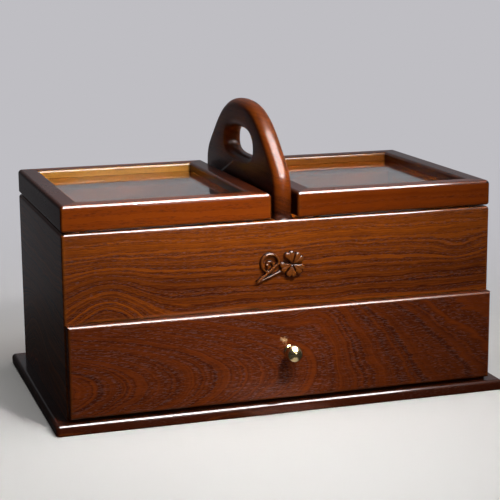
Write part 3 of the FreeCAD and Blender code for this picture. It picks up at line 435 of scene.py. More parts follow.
def use_group(net, name, inputs, look=None):
    """Places a shared shader group, made when it is first asked for.

    look holds more values, of which the group takes the ones that it has sockets for.
    """
    if name not in GROUPS:
        GROUPS[name] = MAKERS[name]()
    sockets = {item.name for item in GROUPS[name].interface.items_tree}
    values = {key: value for key, value in (look or {}).items() if key in sockets}
    return net.outs("ShaderNodeGroup", {**inputs, **values}, node_tree=GROUPS[name])


def new_material(name):
    """An empty material with its net and its Principled shader."""
    material = bpy.data.materials.new(name)
    material.use_nodes = True
    shader = next(node for node in material.node_tree.nodes if node.type == "BSDF_PRINCIPLED")
    return material, Net(material.node_tree), shader


# Which of x, y and z run along a board's grain, across its face and through it
RUNS = {"x on y": "XZY", "y on x": "YZX", "x on z": "XYZ", "y on z": "YXZ"}

# Where the mask of the handle's painted shade changes, in metres: towards the board's faces,
# beside its finger hole, below it and above it
GRIP_FACE, GRIP_SIDE = (0.0056, 0.0069), (0.037, 0.041)
GRIP_BELOW, GRIP_ABOVE = (0.172, 0.178), (0.203, 0.207)
# Painted shade: the dark brown that the handle's faces and finger hole are darkened to.
PAINTED_HANDLE_SHADE = (0.010, 0.004, 0.002)
# Painted shade: the near-black that the carved ornament is darkened to where it meets the panel.
PAINTED_RELIEF_SHADE = (0.008, 0.003, 0.002)


def painted_handle_shade_mask(net, axes):
    """Mask of the handle's two faces and the inside of its finger hole, where shade is painted."""
    x, y, z = axes
    level = net.step(z, *GRIP_BELOW) * net.fall(z, *GRIP_ABOVE)
    hole = net.fall(net.math("ABSOLUTE", y), *GRIP_SIDE) * level
    return net.math("MAXIMUM", net.step(net.math("ABSOLUTE", x), *GRIP_FACE), hole)


def wood(name, node, run, look, dark, light, pore_glint, frame_of=None, thin_and_lit_at=None):
    """Wood for one board.

    run is the grain's direction on the face's normal, and look holds the grain's values.
    frame_of is the middle and half size of a mitred frame. The last argument is the y of the edge
    along which a golden band runs: partly stain that runs thin, partly a painted highlight.
    """
    material, net, shader = new_material(name)
    settings = finish()
    low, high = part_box(node)
    place = net.place()
    axes = net.parts(place)
    board = net.join(*(axes["XYZ".index(letter)] for letter in RUNS[run]))
    board = net.vector("ADD", board, tuple(v * MM for v in look.get("shift", (0, 0, 0))))
    rings = use_group(net, look.get("figure", "board_figure"), {"Vector": board}, look)
    grain = use_group(net, "wood_grain", {**rings, "Dark": dark, "Light": light, "Pore Glint": pore_glint},
                      look)
    worn = use_group(net, "edge_wear", {
        "Vector": place, "Centre": (low + high) / 2, "Half Size": (high - low) / 2,
        "Width": measures().wear_width})
    rubbed = worn["Mask"] * (settings.wear * look.get("wear", 1.0))
    tinted = net.mix(rubbed, grain["Color"], settings.worn_edge_and_highlight)
    # Golden band behind the back rail's edge: partly thin stain, partly a painted highlight.
    if thin_and_lit_at is not None:
        facing = net.fall(axes[1] - thin_and_lit_at, 0.4 * MM, 3.2 * MM)
        streaked = net.math("MULTIPLY_ADD", grain["Gloss Loss"], -0.5, facing, clamp=True)
        tinted = net.mix(streaked * look["thin"], tinted, settings.thin_stain_and_highlight)
    if frame_of:
        line = use_group(net, "mitre_line", {
            "Vector": place, "Centre": frame_of[0], "Half Size": frame_of[1],
            "Width": measures().mitre_width})
        tinted = net.mix(line["Mask"] * 0.75, tinted, dark * 0.12)
    # Painted shade and highlight on the ornament: darker where it meets the panel, lighter on its
    # raised tops.
    if "hollow" in look:
        depth = (high.y - axes[1]) / (look["hollow"] * MM)
        tinted = net.mix(net.step(depth, 0.25, 1.0, 0.92, 0.0), tinted, PAINTED_RELIEF_SHADE)
        # Painted highlight: the ornament's raised tops are lightened with the rubbed-edge colour.
        tinted = net.mix(net.step(depth, 0.9, 1.15, 0.0, 0.32), tinted, settings.worn_edge_and_highlight)
    # Painted shade on the handle's faces and inside its finger hole.
    if "grip" in look:
        tinted = net.mix(painted_handle_shade_mask(net, axes) * look["grip"], tinted, PAINTED_HANDLE_SHADE)
    bump = net.out("ShaderNodeBump", {"Height": grain["Height"] * worn["Inside"],
                                      "Distance": look.get("relief", 0.06) * MM})
    net.fill(shader, {
        "Base Color": tinted, "Roughness": grain["Gloss Loss"] * 0.3 + look.get("rough", 0.3),
        "Normal": bump, "Specular IOR Level": 0.04, "Coat Weight": look.get("coat", 0.55),
        "Coat Roughness": look.get("gloss", 0.09)})
    return material


def metal(name, tint, rough, scale, relief=0.01):
    """Metal with fine polishing marks and smudges."""
    material, net, shader = new_material(name)
    place = net.millimetres(net.place())
    smudge = net.noise(place, scale=0.25, detail=3.0)
    marks = net.noise(net.vector("MULTIPLY", place, (6.0, 0.6, 6.0)), scale=scale)
    bump = net.out("ShaderNodeBump", {"Height": marks, "Distance": relief * MM,
                                      "Strength": 0.5})
    net.fill(shader, {
        "Base Color": net.mix(net.step(smudge, 0.35, 0.7), tint, tint * 0.72),
        "Metallic": 1.0, "Roughness": smudge * 0.12 + rough, "Normal": bump})
    return material


def glass():
    """Clear sheet glass with faint smears."""
    material, net, shader = new_material("pane_glass")
    smear = net.noise(net.millimetres(net.place()), (26, 14, 14), detail=4.0)
    net.fill(shader, {
        "Base Color": finish().glass, "Transmission Weight": 1.0, "IOR": 1.5,
        "Roughness": net.step(smear, 0.45, 0.75, 0.02, 0.10),
        "Coat Weight": net.step(smear, 0.48, 0.66, 0.0, 0.25), "Coat Roughness": 0.12})
    return material


def felt():
    """Dense felt."""
    material, net, shader = new_material("rim_felt")
    fuzz = net.noise(net.millimetres(net.place()), scale=3.0, detail=4.0, roughness=0.7)
    base = finish().felt
    net.fill(shader, {
        "Base Color": net.mix(fuzz, base * 0.6, base * 1.5), "Roughness": 0.95,
        "Sheen Weight": 0.5,
        "Normal": net.out("ShaderNodeBump", {"Height": fuzz, "Distance": 0.15 * MM})})
    return material


def dress(node, material):
    """Gives a CAD node its material."""
    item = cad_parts[node]
    item.data.materials.clear()
    item.data.materials.append(material)
    return item


# The boards


def hump(along, level, height, half_length, reach):
    """Grain values of one arch in a board's figure."""
    return {"Hump Along": along, "Hump Level": level, "Hump Height": height,
            "Hump Length": half_length, "Hump Reach": reach}


# Grain values are in millimetres along, across and through each board
CASE_BOARDS = {
    "front_panel": ("x on y", {
        **hump(-134, 88, 24, 27, 40), "Eye Along": 139, "Eye Across": 113, "Wander": 2.2,
        "Pore Amount": 0.24, "Contrast": 0.5, "Tone": 0.21, "Lift": 0.27, "Lift Level": 106,
        "Lines": 0.5, "Ring Scale": 1.25, "Streaks": 0.9}),
    "left_side_panel": ("y on x", {
        **hump(30, 20, 30, 40, 90), "Wander": 4, "Pore Amount": 0.4, "Contrast": 0.6,
        "Tone": 0.3}),
    "right_side_panel": ("y on x", {
        **hump(270, 10, 40, 45, 110), "Wander": 4, "Pore Amount": 0.5, "Contrast": 0.65,
        "Tone": 0.34, "shift": (300, 0, 0)}),
    "back_panel": ("x on y", {
        **hump(550, 15, 45, 70, 110), "Wander": 4, "Pore Amount": 0.5, "Contrast": 0.65,
        "Tone": 0.34, "shift": (500, 0, 0)}),
    "base_board": ("x on z", {
        "Hump Height": 0, "Wander": 4, "Pore Amount": 0.2, "Contrast": 0.4, "Tone": -0.2,
        "rough": 0.26, "relief": 0.03, "wear": 0.15, "shift": (700, 0, 40)}),
}


class SEWINGBOX_OT_case(bpy.types.Operator):
    """Finish the case's outer boards with stained, open-pored wood"""

    bl_idname = "sewingbox.case"
    bl_label = "Case boards"

    def execute(self, context):
        look = finish()
        for node, (run, values) in CASE_BOARDS.items():
            material = wood(f"{node}_wood", node, run, values,
                            look.case_dark, look.case_light, look.case_pore_glint)
            dress(node, material)
        return {"FINISHED"}


INNER_BOARDS = {
    "compartment_shelf": "x on z", "left_shelf_rail": "y on x", "right_shelf_rail": "y on x",
    "left_wear_strip": "y on z", "right_wear_strip": "y on z", "long_divider": "x on y",
    "cross_divider": "y on x", "drawer_inner_front": "x on y", "drawer_back": "x on y",
    "drawer_left_side": "y on x", "drawer_right_side": "y on x", "drawer_bottom": "x on z",
}


class SEWINGBOX_OT_inside(bpy.types.Operator):
    """Finish the shelf, the dividers and the drawer box with pale wood"""

    bl_idname = "sewingbox.inside"
    bl_label = "Inner boards"

    def execute(self, context):
        look = finish()
        for order, (node, run) in enumerate(INNER_BOARDS.items()):
            values = {"Hump Height": 0, "Pore Amount": 0.15, "Contrast": 0.6, "Tone": 0.5,
                      "wear": 0.2, "rough": 0.5, "coat": 0.0, "relief": 0.05,
                      "shift": (order * 170, order * 11, order * 23)}
            material = wood(f"{node}_wood", node, run, values,
                            look.inner_dark, look.inner_light, look.inner_dark)
            dress(node, material)
        return {"FINISHED"}


# For each rail of a lid: its grain, its coat, its tone and how bright its colours are
# The outer and inner rails' lower tone and brightness are painted shade on these rails.
LID_RAILS = {"front": ("x on y", 0.5, 0.42, 1.0), "back": ("x on y", 0.2, 0.42, 1.0),
             "outer": ("y on x", 0.34, 0.0, 0.55), "inner": ("y on x", 0.34, 0.0, 0.55)}


class SEWINGBOX_OT_lids(bpy.types.Operator):
    """Finish both lids: mitred rails, panes and glazing beads"""

    bl_idname = "sewingbox.lids"
    bl_label = "Lids"

    def execute(self, context):
        look = finish()
        pane = glass()
        for order, side in enumerate(("left", "right")):
            low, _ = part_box(f"{side}_lid_front_rail")
            back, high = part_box(f"{side}_lid_back_rail")
            frame_of = (low + high) / 2, (high - low) / 2
            for part, (word, (run, coat, tone, bright)) in enumerate(LID_RAILS.items()):
                node = f"{side}_lid_{word}_rail"
                # Painted shade: the right lid's colours and tone are darkened, as the light falls
                # off to the right.
                shade = (1.0 - 0.16 * order) * bright
                values = {
                    "Hump Height": 0, "Wander": 1.6, "Pore Amount": 0.06, "Contrast": 0.26,
                    "Tone": tone - 0.16 * order, "Ring Scale": 0.8, "rough": 0.24,
                    # The golden band is weaker on the right lid: a painted highlight that follows
                    # the light.
                    "relief": 0.02, "coat": coat, "wear": 0.5, "thin": 0.85 - 0.65 * order,
                    "shift": (part * 190 + order * 333, part * 31 + order * 57, part * 17)}
                material = wood(f"{node}_wood", node, run, values, look.lid_dark * shade,
                                look.lid_light * shade, look.case_pore_glint, frame_of,
                                back.y if word == "back" else None)
                dress(node, material)
            beads = f"{side}_glazing_beads"
            values = {"Hump Height": 0, "Pore Amount": 0.05, "Contrast": 0.4, "rough": 0.35,
                      "wear": 0.0}
            material = wood(f"{beads}_wood", beads, "x on y", values, look.lid_dark,
                            look.lid_light, look.case_pore_glint, frame_of)
            dress(beads, material)
            dress(f"{side}_lid_glass", pane)
        return {"FINISHED"}


class SEWINGBOX_OT_drawer_front(bpy.types.Operator):
    """Finish the drawer's front with strongly figured wood"""

    bl_idname = "sewingbox.drawer_front"
    bl_label = "Drawer front"

    def execute(self, context):
        look = finish()
        values = {"figure": "crescent_figure", "Heart Along": -290, "Slope": 0.75,
                  "Wander": 2.4, "Pore Amount": 0.3, "Contrast": 0.5, "Tone": 0.22,
                  "Fine": 1.1, "Streaks": 0.8, "Lines": 0.1, "Bands": 1.15,
                  "coat": 0.4, "gloss": 0.2}
        redder = [level * part for level, part in zip(look.case_light, (0.8, 0.62, 0.8))]
        material = wood("drawer_front_wood", "drawer_front", "x on y", values,
                        look.case_dark, redder, look.case_pore_glint)
        dress("drawer_front", material)
        return {"FINISHED"}


class SEWINGBOX_OT_fittings(bpy.types.Operator):
    """Finish the hinges and the felt pads"""

    bl_idname = "sewingbox.fittings"
    bl_label = "Hinges and felt"

    def execute(self, context):
        satin = metal("hinge_brass", finish().old_brass, 0.24, 0.8, 0.02)
        for side in ("left", "right"):
            for word in ("case_leaves", "lid_leaves", "pins"):
                dress(f"{side}_hinge_{word}", satin)
        dress("lid_felt_pads", felt())
        return {"FINISHED"}


# Shape tools


def new_piece(name, sheet, material, slot, body, *replaced):
    """Turns a bmesh into a smooth piece that rides a body and replaces CAD nodes."""
    bmesh.ops.remove_doubles(sheet, verts=sheet.verts, dist=0.002 * MM)
    bmesh.ops.recalc_face_normals(sheet, faces=sheet.faces)
    mesh = bpy.data.meshes.new(name)
    sheet.to_mesh(mesh)
    sheet.free()
    mesh.materials.append(material)
    mesh.shade_smooth()
    item = bpy.data.objects.new(name, mesh)
    bpy.context.scene.collection.objects.link(item)
    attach(item, body)
    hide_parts(*replaced)
    return item


def loft(sheet, levels, capped=True):
    """A skin through rings of equally many points; returns the first and last ring's edges."""
    ring = bmesh.ops.create_circle(sheet, cap_ends=capped, segments=len(levels[0]),
                                   radius=1.0)["verts"]
    edges = first = [edge for edge in sheet.edges if all(vert in ring for vert in edge.verts)]
    for order, level in enumerate(levels):
        if order:
            grown = bmesh.ops.extrude_edge_only(sheet, edges=edges)["geom"]
            fresh = {item for item in grown if isinstance(item, bmesh.types.BMVert)}
            ring = [next(edge.other_vert(vert) for edge in vert.link_edges
                         if edge.other_vert(vert) in fresh) for vert in ring]
            edges = [item for item in grown if isinstance(item, bmesh.types.BMEdge)
                     and all(vert in fresh for vert in item.verts)]
        for vert, point in zip(ring, level):
            vert.co = point
    if capped:
        bmesh.ops.contextual_create(sheet, geom=ring)
    return first, edges


def squashed_ball(sheet, middle, radii, segments):
    """A ball with a radius for each axis; returns its vertices."""
    made = bmesh.ops.create_uvsphere(sheet, u_segments=segments[0], v_segments=segments[1],
                                     radius=1.0)["verts"]
    bmesh.ops.scale(sheet, verts=made, vec=radii)
    bmesh.ops.translate(sheet, verts=made, vec=middle)
    return made


# The ornament


def ornament_wood(name, node, hollow):
    """Wood of the carved ornament, with painted shade near the panel and a painted highlight on
    its tops.
    """
    look = finish()
    values = {"Hump Height": 0, "Pore Amount": 0.1, "Contrast": 0.3, "Tone": 0.28,
              "Ring Scale": 2.0, "wear": 0.0, "rough": 0.4, "relief": 0.01, "coat": 0.36,
              "gloss": 0.1, "hollow": hollow}
    return wood(name, node, "x on y", values, look.case_dark * 0.5, look.case_light * 0.64,
                look.case_pore_glint)


def heart_reach(angle, centre, lobe_out, half_apart, lobe):
    """Distance from a leaf's middle to its outline: a wedge to the tip and two round lobes."""
    way = Vector((math.cos(angle), math.sin(angle)))
    reaches = []
    for side in (-1, 1):
        away = Vector((lobe_out - centre, side * half_apart))
        along = away.dot(way)
        reaches.append(along + math.sqrt(max(along ** 2 - away.length_squared + lobe ** 2, 0)))
    slope = math.atan2(half_apart + lobe, lobe_out)
    outward = abs(way.y) * math.cos(slope) - way.x * math.sin(slope)
    if outward > 1e-6:
        wedge = centre * math.sin(slope) / outward
        if centre + wedge * way.x <= lobe_out:
            reaches.append(wedge)
    return max(reaches)


def carved_leaf(sheet, middle, turn, thick):
    """A domed heart-shaped leaf with a crease down its middle, with sizes in millimetres."""
    centre, lobe_out, half_apart, lobe = 5.6, 7.5, 1.85, 2.3
    crease_depth, crease_half = 0.26, 0.5
    made = squashed_ball(sheet, (0, 0, 0), (1, 1, 1), (48, 24))
    for vert in made:
        flat = min(vert.co.xy.length, 1.0) ** 0.8
        angle = math.atan2(vert.co.y, vert.co.x)
        reach = flat * heart_reach(angle, centre, lobe_out, half_apart, lobe)
        out = Vector((centre + reach * math.cos(angle), reach * math.sin(angle)))
        rise = (1 - flat ** 6) ** (1 / 6) * (1 if vert.co.z >= 0 else -0.2)
        crease = crease_depth * math.exp(-(out.y / crease_half) ** 2) * min(out.x / 3.0, 1.0)
        sink = 0.2 * max(0.0, 1 - out.x / 3.2) + 0.06 * flat ** 2
        height = thick * rise * (1 - sink) - (crease if vert.co.z > 0 else 0)
        vert.co = Vector((out.x * MM, out.y * MM, height * MM))
    for angle, axis in ((turn, "Z"), (90, "X")):
        bmesh.ops.rotate(sheet, verts=made,
                         matrix=Matrix.Rotation(math.radians(angle), 3, axis))
    bmesh.ops.translate(sheet, verts=made, vec=middle)


def heading(degrees):
    """A direction on the panel's face."""
    return Vector((math.cos(math.radians(degrees)), 0, math.sin(math.radians(degrees))))


def arc_points(centre, radius, first, last, count):
    """Points on the panel's face round a centre, between two angles in degrees."""
    return [centre + heading(first + (last - first) * part / count) * radius
            for part in range(count + 1)]


def sweep(sheet, points, half_width, rise, sides=12):
    """A rounded strand along points on the panel's face; its sizes depend on the way gone."""
    turns = [math.tau * side / sides for side in range(sides)]
    levels = []
    for number, point in enumerate(points):
        before, after = points[max(number - 1, 0)], points[min(number + 1, len(points) - 1)]
        along = (after - before).normalized()
        part = number / (len(points) - 1)
        aside = Vector((-along.z, 0, along.x)) * half_width(part)
        proud = Vector((0, rise(part), 0))
        levels.append([point + aside * math.cos(turn) + proud * math.sin(turn)
                       for turn in turns])
    loft(sheet, levels)


# Points on the front panel as (x, z) in millimetres: the clover's middle, the tendril's first
# point, the middle of its curl, and the point that its lower strand is drawn towards
CLOVER_MIDDLE, TENDRIL_FOOT = (4.9, 110.5), (-22.3, 98.4)
CURL_MIDDLE, STRAND_AIM = (-12, 112.2), (5.5, 110)
# Angles of the clover's leaves, in degrees
LEAF_TURNS = (42, 106, 195, 263, 326)
# The curl's arcs from outside to inside: radius in millimetres, first and last angle, steps
CURL = ((6.7, 10, 240, 20), (3.9, 240, 420, 14), (2.0, 420, 560, 10))
# Radius of the bend that leads into the curl, and the lower strand's sag
BEND, SAG = 2.2 * MM, 0.5 * MM
# Radii of the clover's bud and of the curl's round end, and how far that end stands out
BUD, CURL_END, END_PROUD = (2.6 * MM, 1.9 * MM, 2.6 * MM), (1.5 * MM,) * 3, 1.4 * MM


class SEWINGBOX_OT_ornament(bpy.types.Operator):
    """Carve the clover and the curled tendril on the front panel"""

    bl_idname = "sewingbox.ornament"
    bl_label = "Clover and tendril"

    def execute(self, context):
        size = measures()
        _, (_, face, _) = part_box("clover")
        clover, foot, centre, aim = (
            Vector((x * MM, face, z * MM))
            for x, z in (CLOVER_MIDDLE, TENDRIL_FOOT, CURL_MIDDLE, STRAND_AIM))
        sheet = bmesh.new()
        for turn in LEAF_TURNS:
            carved_leaf(sheet, clover, turn, size.leaf_rise / MM)
        squashed_ball(sheet, clover, BUD, (24, 12))
        new_piece("carved_clover", sheet, ornament_wood("clover_wood", "clover", 3.0),
                  "stained_wood", "case", "clover")

        wide, first = CURL[0][0] * MM, CURL[0][1]
        bend = centre + heading(first) * (wide - BEND)
        reach = bend - foot
        slope = math.degrees(math.atan2(reach.z, reach.x) - math.asin(BEND / reach.length))
        strand_end = bend + heading(slope - 90) * BEND
        path = [foot.lerp(strand_end, part / 8) for part in range(9)]
        path += arc_points(bend, BEND, slope - 90, first, 6)[1:]
        for radius, start, end, steps in CURL:
            centre = centre + heading(start) * (wide - radius * MM)
            wide = radius * MM
            path += arc_points(centre, wide, start, end, steps)[1:]
        sheet = bmesh.new()
        sweep(sheet, path,
              lambda part: size.strand_half + 0.1 * MM * math.sin(math.pi * part),
              lambda part: (3.0 - 0.5 * part) * MM)
        lower_end = foot.lerp(aim, 0.82)
        sag = Vector((0, 0, -SAG))
        lower = [foot.lerp(lower_end, 0.04 + 0.96 * part) + sag * math.sin(math.pi * part)
                 for part in (step / 10 for step in range(11))]
        sweep(sheet, lower, lambda part: (0.95 + 0.2 * part) * MM, lambda part: 2.4 * MM)
        squashed_ball(sheet, path[-1] - Vector((0, END_PROUD, 0)), CURL_END, (20, 12))
        new_piece("carved_tendril", sheet, ornament_wood("tendril_wood", "tendril", 2.2),
                  "stained_wood", "case", "tendril")
        return {"FINISHED"}


# Handle, knob and screws

# Half of the handle board's outline, from the crown down to the case's rim, as (y, z) in
# millimetres. Below the rim the board is narrower, because it stands between the panels.
HANDLE_CROWN = [(0, 223.1), (15, 222.3), (29, 219.5), (43, 213.9), (54.5, 206.8), (64, 199.3),
                (72.5, 191.8), (80, 185.2), (86.3, 178.3), (90, 170.5), (91, 162), (91, 153),
                (91, 146)]
HANDLE_RIM, HANDLE_INNER, HANDLE_THICK = 143.5, 83.0, 14.0
# The finger hole's height above the ground, its half width and its reach up and down
HOLE_LEVEL, HOLE_HALF, HOLE_UP, HOLE_DOWN, HOLE_STEPS = 187.5, 33.3, 13.4, 7.4, 72


def smooth_line(points, steps):
    """Points of an even curve through the given ones."""
    ends = [points[0] * 2 - points[1], *points, points[-1] * 2 - points[-2]]
    line = []
    for first, second, third, fourth in zip(ends, ends[1:], ends[2:], ends[3:]):
        for part in range(steps):
            t = part / steps
            line.append(0.5 * (2 * second + (third - first) * t
                               + (2 * first - 5 * second + 4 * third - fourth) * t ** 2
                               + (3 * second - first - 3 * third + fourth) * t ** 3))
    return [*line, points[-1]]


def rounded_ring(sheet, loop, rounding, steps=7):
    """A band round a closed loop of (y, z), rounded towards both faces of the handle.

    rounding holds the radius at each point. Returns the edges at both of the band's ends.
    """
    normals = []
    for number in range(len(loop)):
        along = loop[(number + 1) % len(loop)] - loop[number - 1]
        normals.append(Vector((-along.y, along.x)).normalized())
    leans = [math.radians(90 * part / steps) for part in range(steps + 1)]
    levels = []
    for side, lean in [(-1, lean) for lean in leans] + [(1, lean) for lean in reversed(leans)]:
        level = []
        for point, normal, radius in zip(loop, normals, rounding):
            inset = point - normal * radius * (1 - math.sin(lean))
            across = side * (HANDLE_THICK / 2 - radius + radius * math.cos(lean))
            level.append(Vector((across, inset.x, inset.y)) * MM)
        levels.append(level)
    return loft(sheet, levels, capped=False)


class SEWINGBOX_OT_handle(bpy.types.Operator):
    """Shape the handle board: a bullnosed arch with an oval finger hole"""

    bl_idname = "sewingbox.handle"
    bl_label = "Handle"

    def execute(self, context):
        look, size = finish(), measures()
        low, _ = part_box("handle_board")
        foot, widest = low.z / MM, HANDLE_CROWN[-1][0]
        half = smooth_line([Vector(point) for point in HANDLE_CROWN], 5)
        half += [Vector(point) for point in ((widest, HANDLE_RIM), (HANDLE_INNER, HANDLE_RIM),
                                             (HANDLE_INNER, foot), (0, foot))]
        loop = half + [Vector((-point.x, point.y)) for point in reversed(half[1:-1])]
        rounding = [size.handle_round / MM * min(max((point.y - HANDLE_RIM - 0.5) / 2.5, 0), 1)
                    for point in loop]
        hole = []
        for number in range(HOLE_STEPS):
            turn = math.tau * number / HOLE_STEPS
            out, up = (math.copysign(abs(way) ** 0.82, way)
                       for way in (math.cos(turn), math.sin(turn)))
            hole.append(Vector((HOLE_HALF * out,
                                HOLE_LEVEL + (HOLE_UP if up > 0 else HOLE_DOWN) * up)))
        sheet = bmesh.new()
        outside = rounded_ring(sheet, loop, rounding)
        inside = rounded_ring(sheet, hole, [size.hole_round / MM] * HOLE_STEPS)
        for outer, inner in zip(outside, inside):
            bmesh.ops.bridge_loops(sheet, edges=outer + inner)
        # Lift and Lift Level paint light from above on the handle's upper part.
        values = {"Hump Height": 0, "Wander": 2.0, "Pore Amount": 0.08, "Contrast": 0.28,
                  "Tone": 0.0, "Lift": 0.72, "Lift Level": 190, "Lines": 0.1, "wear": 0.0,
                  # This line also sets how strongly shade is painted on the handle's faces and in
                  # its finger hole.
                  "rough": 0.3, "relief": 0.01, "coat": 0.15, "gloss": 0.15, "grip": 0.62,
                  "shift": (0, 40, 90)}
        material = wood("handle_wood", "handle_board", "y on x", values, look.lid_dark * 0.22,
                        look.lid_light * 0.9, look.case_pore_glint)
        item = new_piece("shaped_handle", sheet, material, "stained_wood", "case",
                         "handle_board")
        item.data.set_sharp_from_angle(angle=math.radians(40))
        return {"FINISHED"}


# The knob's collar and neck, as (distance from the drawer front, radius) in millimetres, and
# the distance from the front of the solid knob to the ball's middle
KNOB_FOOT = ((0, 0), (0, 3.9), (1.2, 3.9), (1.5, 3.7), (1.6, 3.4), (1.9, 2.9), (2.6, 2.65))
NECK, BALL_BACK = 2.6 * MM, 7.8 * MM


class SEWINGBOX_OT_knob(bpy.types.Operator):
    """Turn the drawer's brass ball knob with its neck and collar"""

    bl_idname = "sewingbox.knob"
    bl_label = "Drawer knob"

    def execute(self, context):
        low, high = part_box("drawer_knob")
        ball, radius = low.y + BALL_BACK, measures().knob_radius
        outline = [(high.y - out * MM, wide * MM) for out, wide in KNOB_FOOT]
        start = math.asin(NECK / radius)
        neck_end = ball + radius * math.cos(start)
        outline += [(neck_end + 0.8 * MM, NECK), (neck_end + 0.2 * MM, NECK + 0.1 * MM)]
        turns = [start + (math.pi - start) * part / 24 for part in range(1, 25)]
        outline += [(ball + radius * math.cos(turn), radius * math.sin(turn)) for turn in turns]
        sheet = bmesh.new()
        verts = [sheet.verts.new((0.0, place, wide)) for place, wide in outline]
        edges = [sheet.edges.new(pair) for pair in zip(verts, verts[1:])]
        bmesh.ops.spin(sheet, geom=verts + edges, cent=(0, 0, 0), axis=(0, 1, 0),
                       dvec=(0, 0, 0), angle=math.tau, steps=56, use_merge=True)
        bmesh.ops.translate(sheet, verts=sheet.verts,
                            vec=((low.x + high.x) / 2, 0, (low.z + high.z) / 2))
        polished = metal("knob_brass", finish().brass, 0.10, 0.4)
        new_piece("turned_knob", sheet, polished, "brass", "drawer", "drawer_knob")
        return {"FINISHED"}


# A screw's head radius, head height and shank radius in millimetres
BIG, SMALL, KNOB_SCREW = (3.5, 2.0, 1.75), (2.0, 0.9, 1.1), (4.0, 2.4, 2.0)
# For each group of screws: the body, the way they are driven and their size
SCREWS = {
    "base_screws": ("case", "up", BIG),
    "handle_screws": ("case", "up", BIG),
    "left_hinge_case_screws": ("case", "forward", SMALL),
    "right_hinge_case_screws": ("case", "forward", SMALL),
    "left_hinge_lid_screws": ("left_lid", "forward", SMALL),
    "right_hinge_lid_screws": ("right_lid", "forward", SMALL),
    "drawer_front_screws": ("drawer", "forward", SMALL),
    "knob_screw": ("drawer", "forward", KNOB_SCREW),
}


def separate_boxes(node):
    """Corners of the box round each separate body of a CAD node."""
    sheet = bmesh.new()
    sheet.from_mesh(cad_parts[node].data)
    bmesh.ops.remove_doubles(sheet, verts=sheet.verts, dist=0.001 * MM)
    boxes = []
    for first in sheet.verts:
        if first.tag:
            continue
        first.tag = True
        waiting, found = [first], []
        while waiting:
            vert = waiting.pop()
            found.append(vert.co.copy())
            for edge in vert.link_edges:
                other = edge.other_vert(vert)
                if not other.tag:
                    other.tag = True
                    waiting.append(other)
        boxes.append([Vector([pick(place[i] for place in found) for i in range(3)])
                      for pick in (min, max)])
    sheet.free()
    return boxes


def crossed_screw(sheet, place, along, turn, head, height, shank, reach):
    """A countersunk screw with a cross recess, driven from a place along a direction."""
    aside = Vector((1, 0, 0))
    upward = along.cross(aside)
    arm, half, rim = 0.62 * head, 0.15 * head, 1.03 * head
    cross = [Matrix.Rotation(math.radians(90 * quarter), 2) @ Vector(corner)
             for quarter in range(4) for corner in ((arm, -half), (arm, half), (half, half))]
    circle = [Vector((math.cos(angle), math.sin(angle)))
              for angle in (math.radians(30 * part - 15) for part in range(12))]
    outlines = ((cross, 0.75, height * 0.6), (cross, 1.0, -0.02 * head),
                (circle, rim * 0.9, -0.02 * head), (circle, rim, 0.02 * head),
                (circle, shank, height), (circle, shank, reach * 0.8),
                (circle, shank * 0.15, reach))
    levels = []
    for outline, size, depth in outlines:
        turned = [Matrix.Rotation(turn, 2) @ point * size for point in outline]
        levels.append([place + aside * point.x + upward * point.y + along * depth
                       for point in turned])
    loft(sheet, levels)


class SEWINGBOX_OT_screws(bpy.types.Operator):
    """Make the cross-recessed screws of the base, the handle, the hinges and the drawer"""

    bl_idname = "sewingbox.screws"
    bl_label = "Screws"

    def execute(self, context):
        zinc = metal("zinc_steel", finish().steel, 0.26, 1.0, 0.02)
        for node, (body, way, size) in SCREWS.items():
            sheet = bmesh.new()
            for number, (low, high) in enumerate(separate_boxes(node)):
                place = (low + high) / 2
                if way == "up":
                    place.z, along, reach = low.z, Vector((0, 0, 1)), high.z - low.z
                else:
                    place.y, along, reach = high.y, Vector((0, -1, 0)), high.y - low.y
                crossed_screw(sheet, place, along, math.radians(23 + 37 * number),
                              *(measure * MM for measure in size), reach)
            item = new_piece(f"crossed_{node}", sheet, zinc, "screw_steel", body, node)
            item.data.set_sharp_from_angle(angle=math.radians(35))
        return {"FINISHED"}


# Stage

# Where the camera stands, in metres, and how it is turned, in radians
CAMERA_PLACE = Vector((-0.344358, -1.085277, 0.340338))
YAW, PITCH, ROLL = 0.309308, -0.205548, -0.00793479
# Each lamp's place, the point it is aimed at and its width and height, in metres
LAMPS = {
    "front_softbox": ((0.06, -0.56, 0.22), (-0.07, -0.09, 0.10), (0.12, 0.12)),
    "key_softbox": ((0.07, -0.46, 0.56), (-0.06, -0.09, 0.12), (0.12, 0.07)),
    "edge_strip": ((0.10, -0.29, 0.66), (0.10, -0.12, 0.1), (0.56, 0.60)),
    "floor_softbox": ((0.1, -0.2, 1.5), (0.1, -0.1, 0), (1.4, 1.2)),
    "back_softbox": ((0.08, 0.40, 0.11), (0.02, 0.09, 0.08), (0.4, 0.06)),
    "right_softbox": ((0.78, 0.02, 0.10), (0.17, 0.02, 0.10), (0.3, 0.06)),
}
SOFTBOX_SPREAD = math.radians(75)
ROOM_SHADE = (0.85, 0.86, 0.9)


def soft_light(name, watts):
    """A soft rectangular lamp that the camera doesn't see."""
    place, target, size = LAMPS[name]
    lamp = bpy.data.lights.new(name, "AREA")
    lamp.shape = "RECTANGLE"
    lamp.size, lamp.size_y = size
    lamp.energy = watts
    item = bpy.data.objects.new(name, lamp)
    item.location = place
    item.rotation_mode = "QUATERNION"
    item.rotation_quaternion = (Vector(target) - Vector(place)).to_track_quat("-Z", "Y")
    item.visible_camera = False
    bpy.context.scene.collection.objects.link(item)
    return item


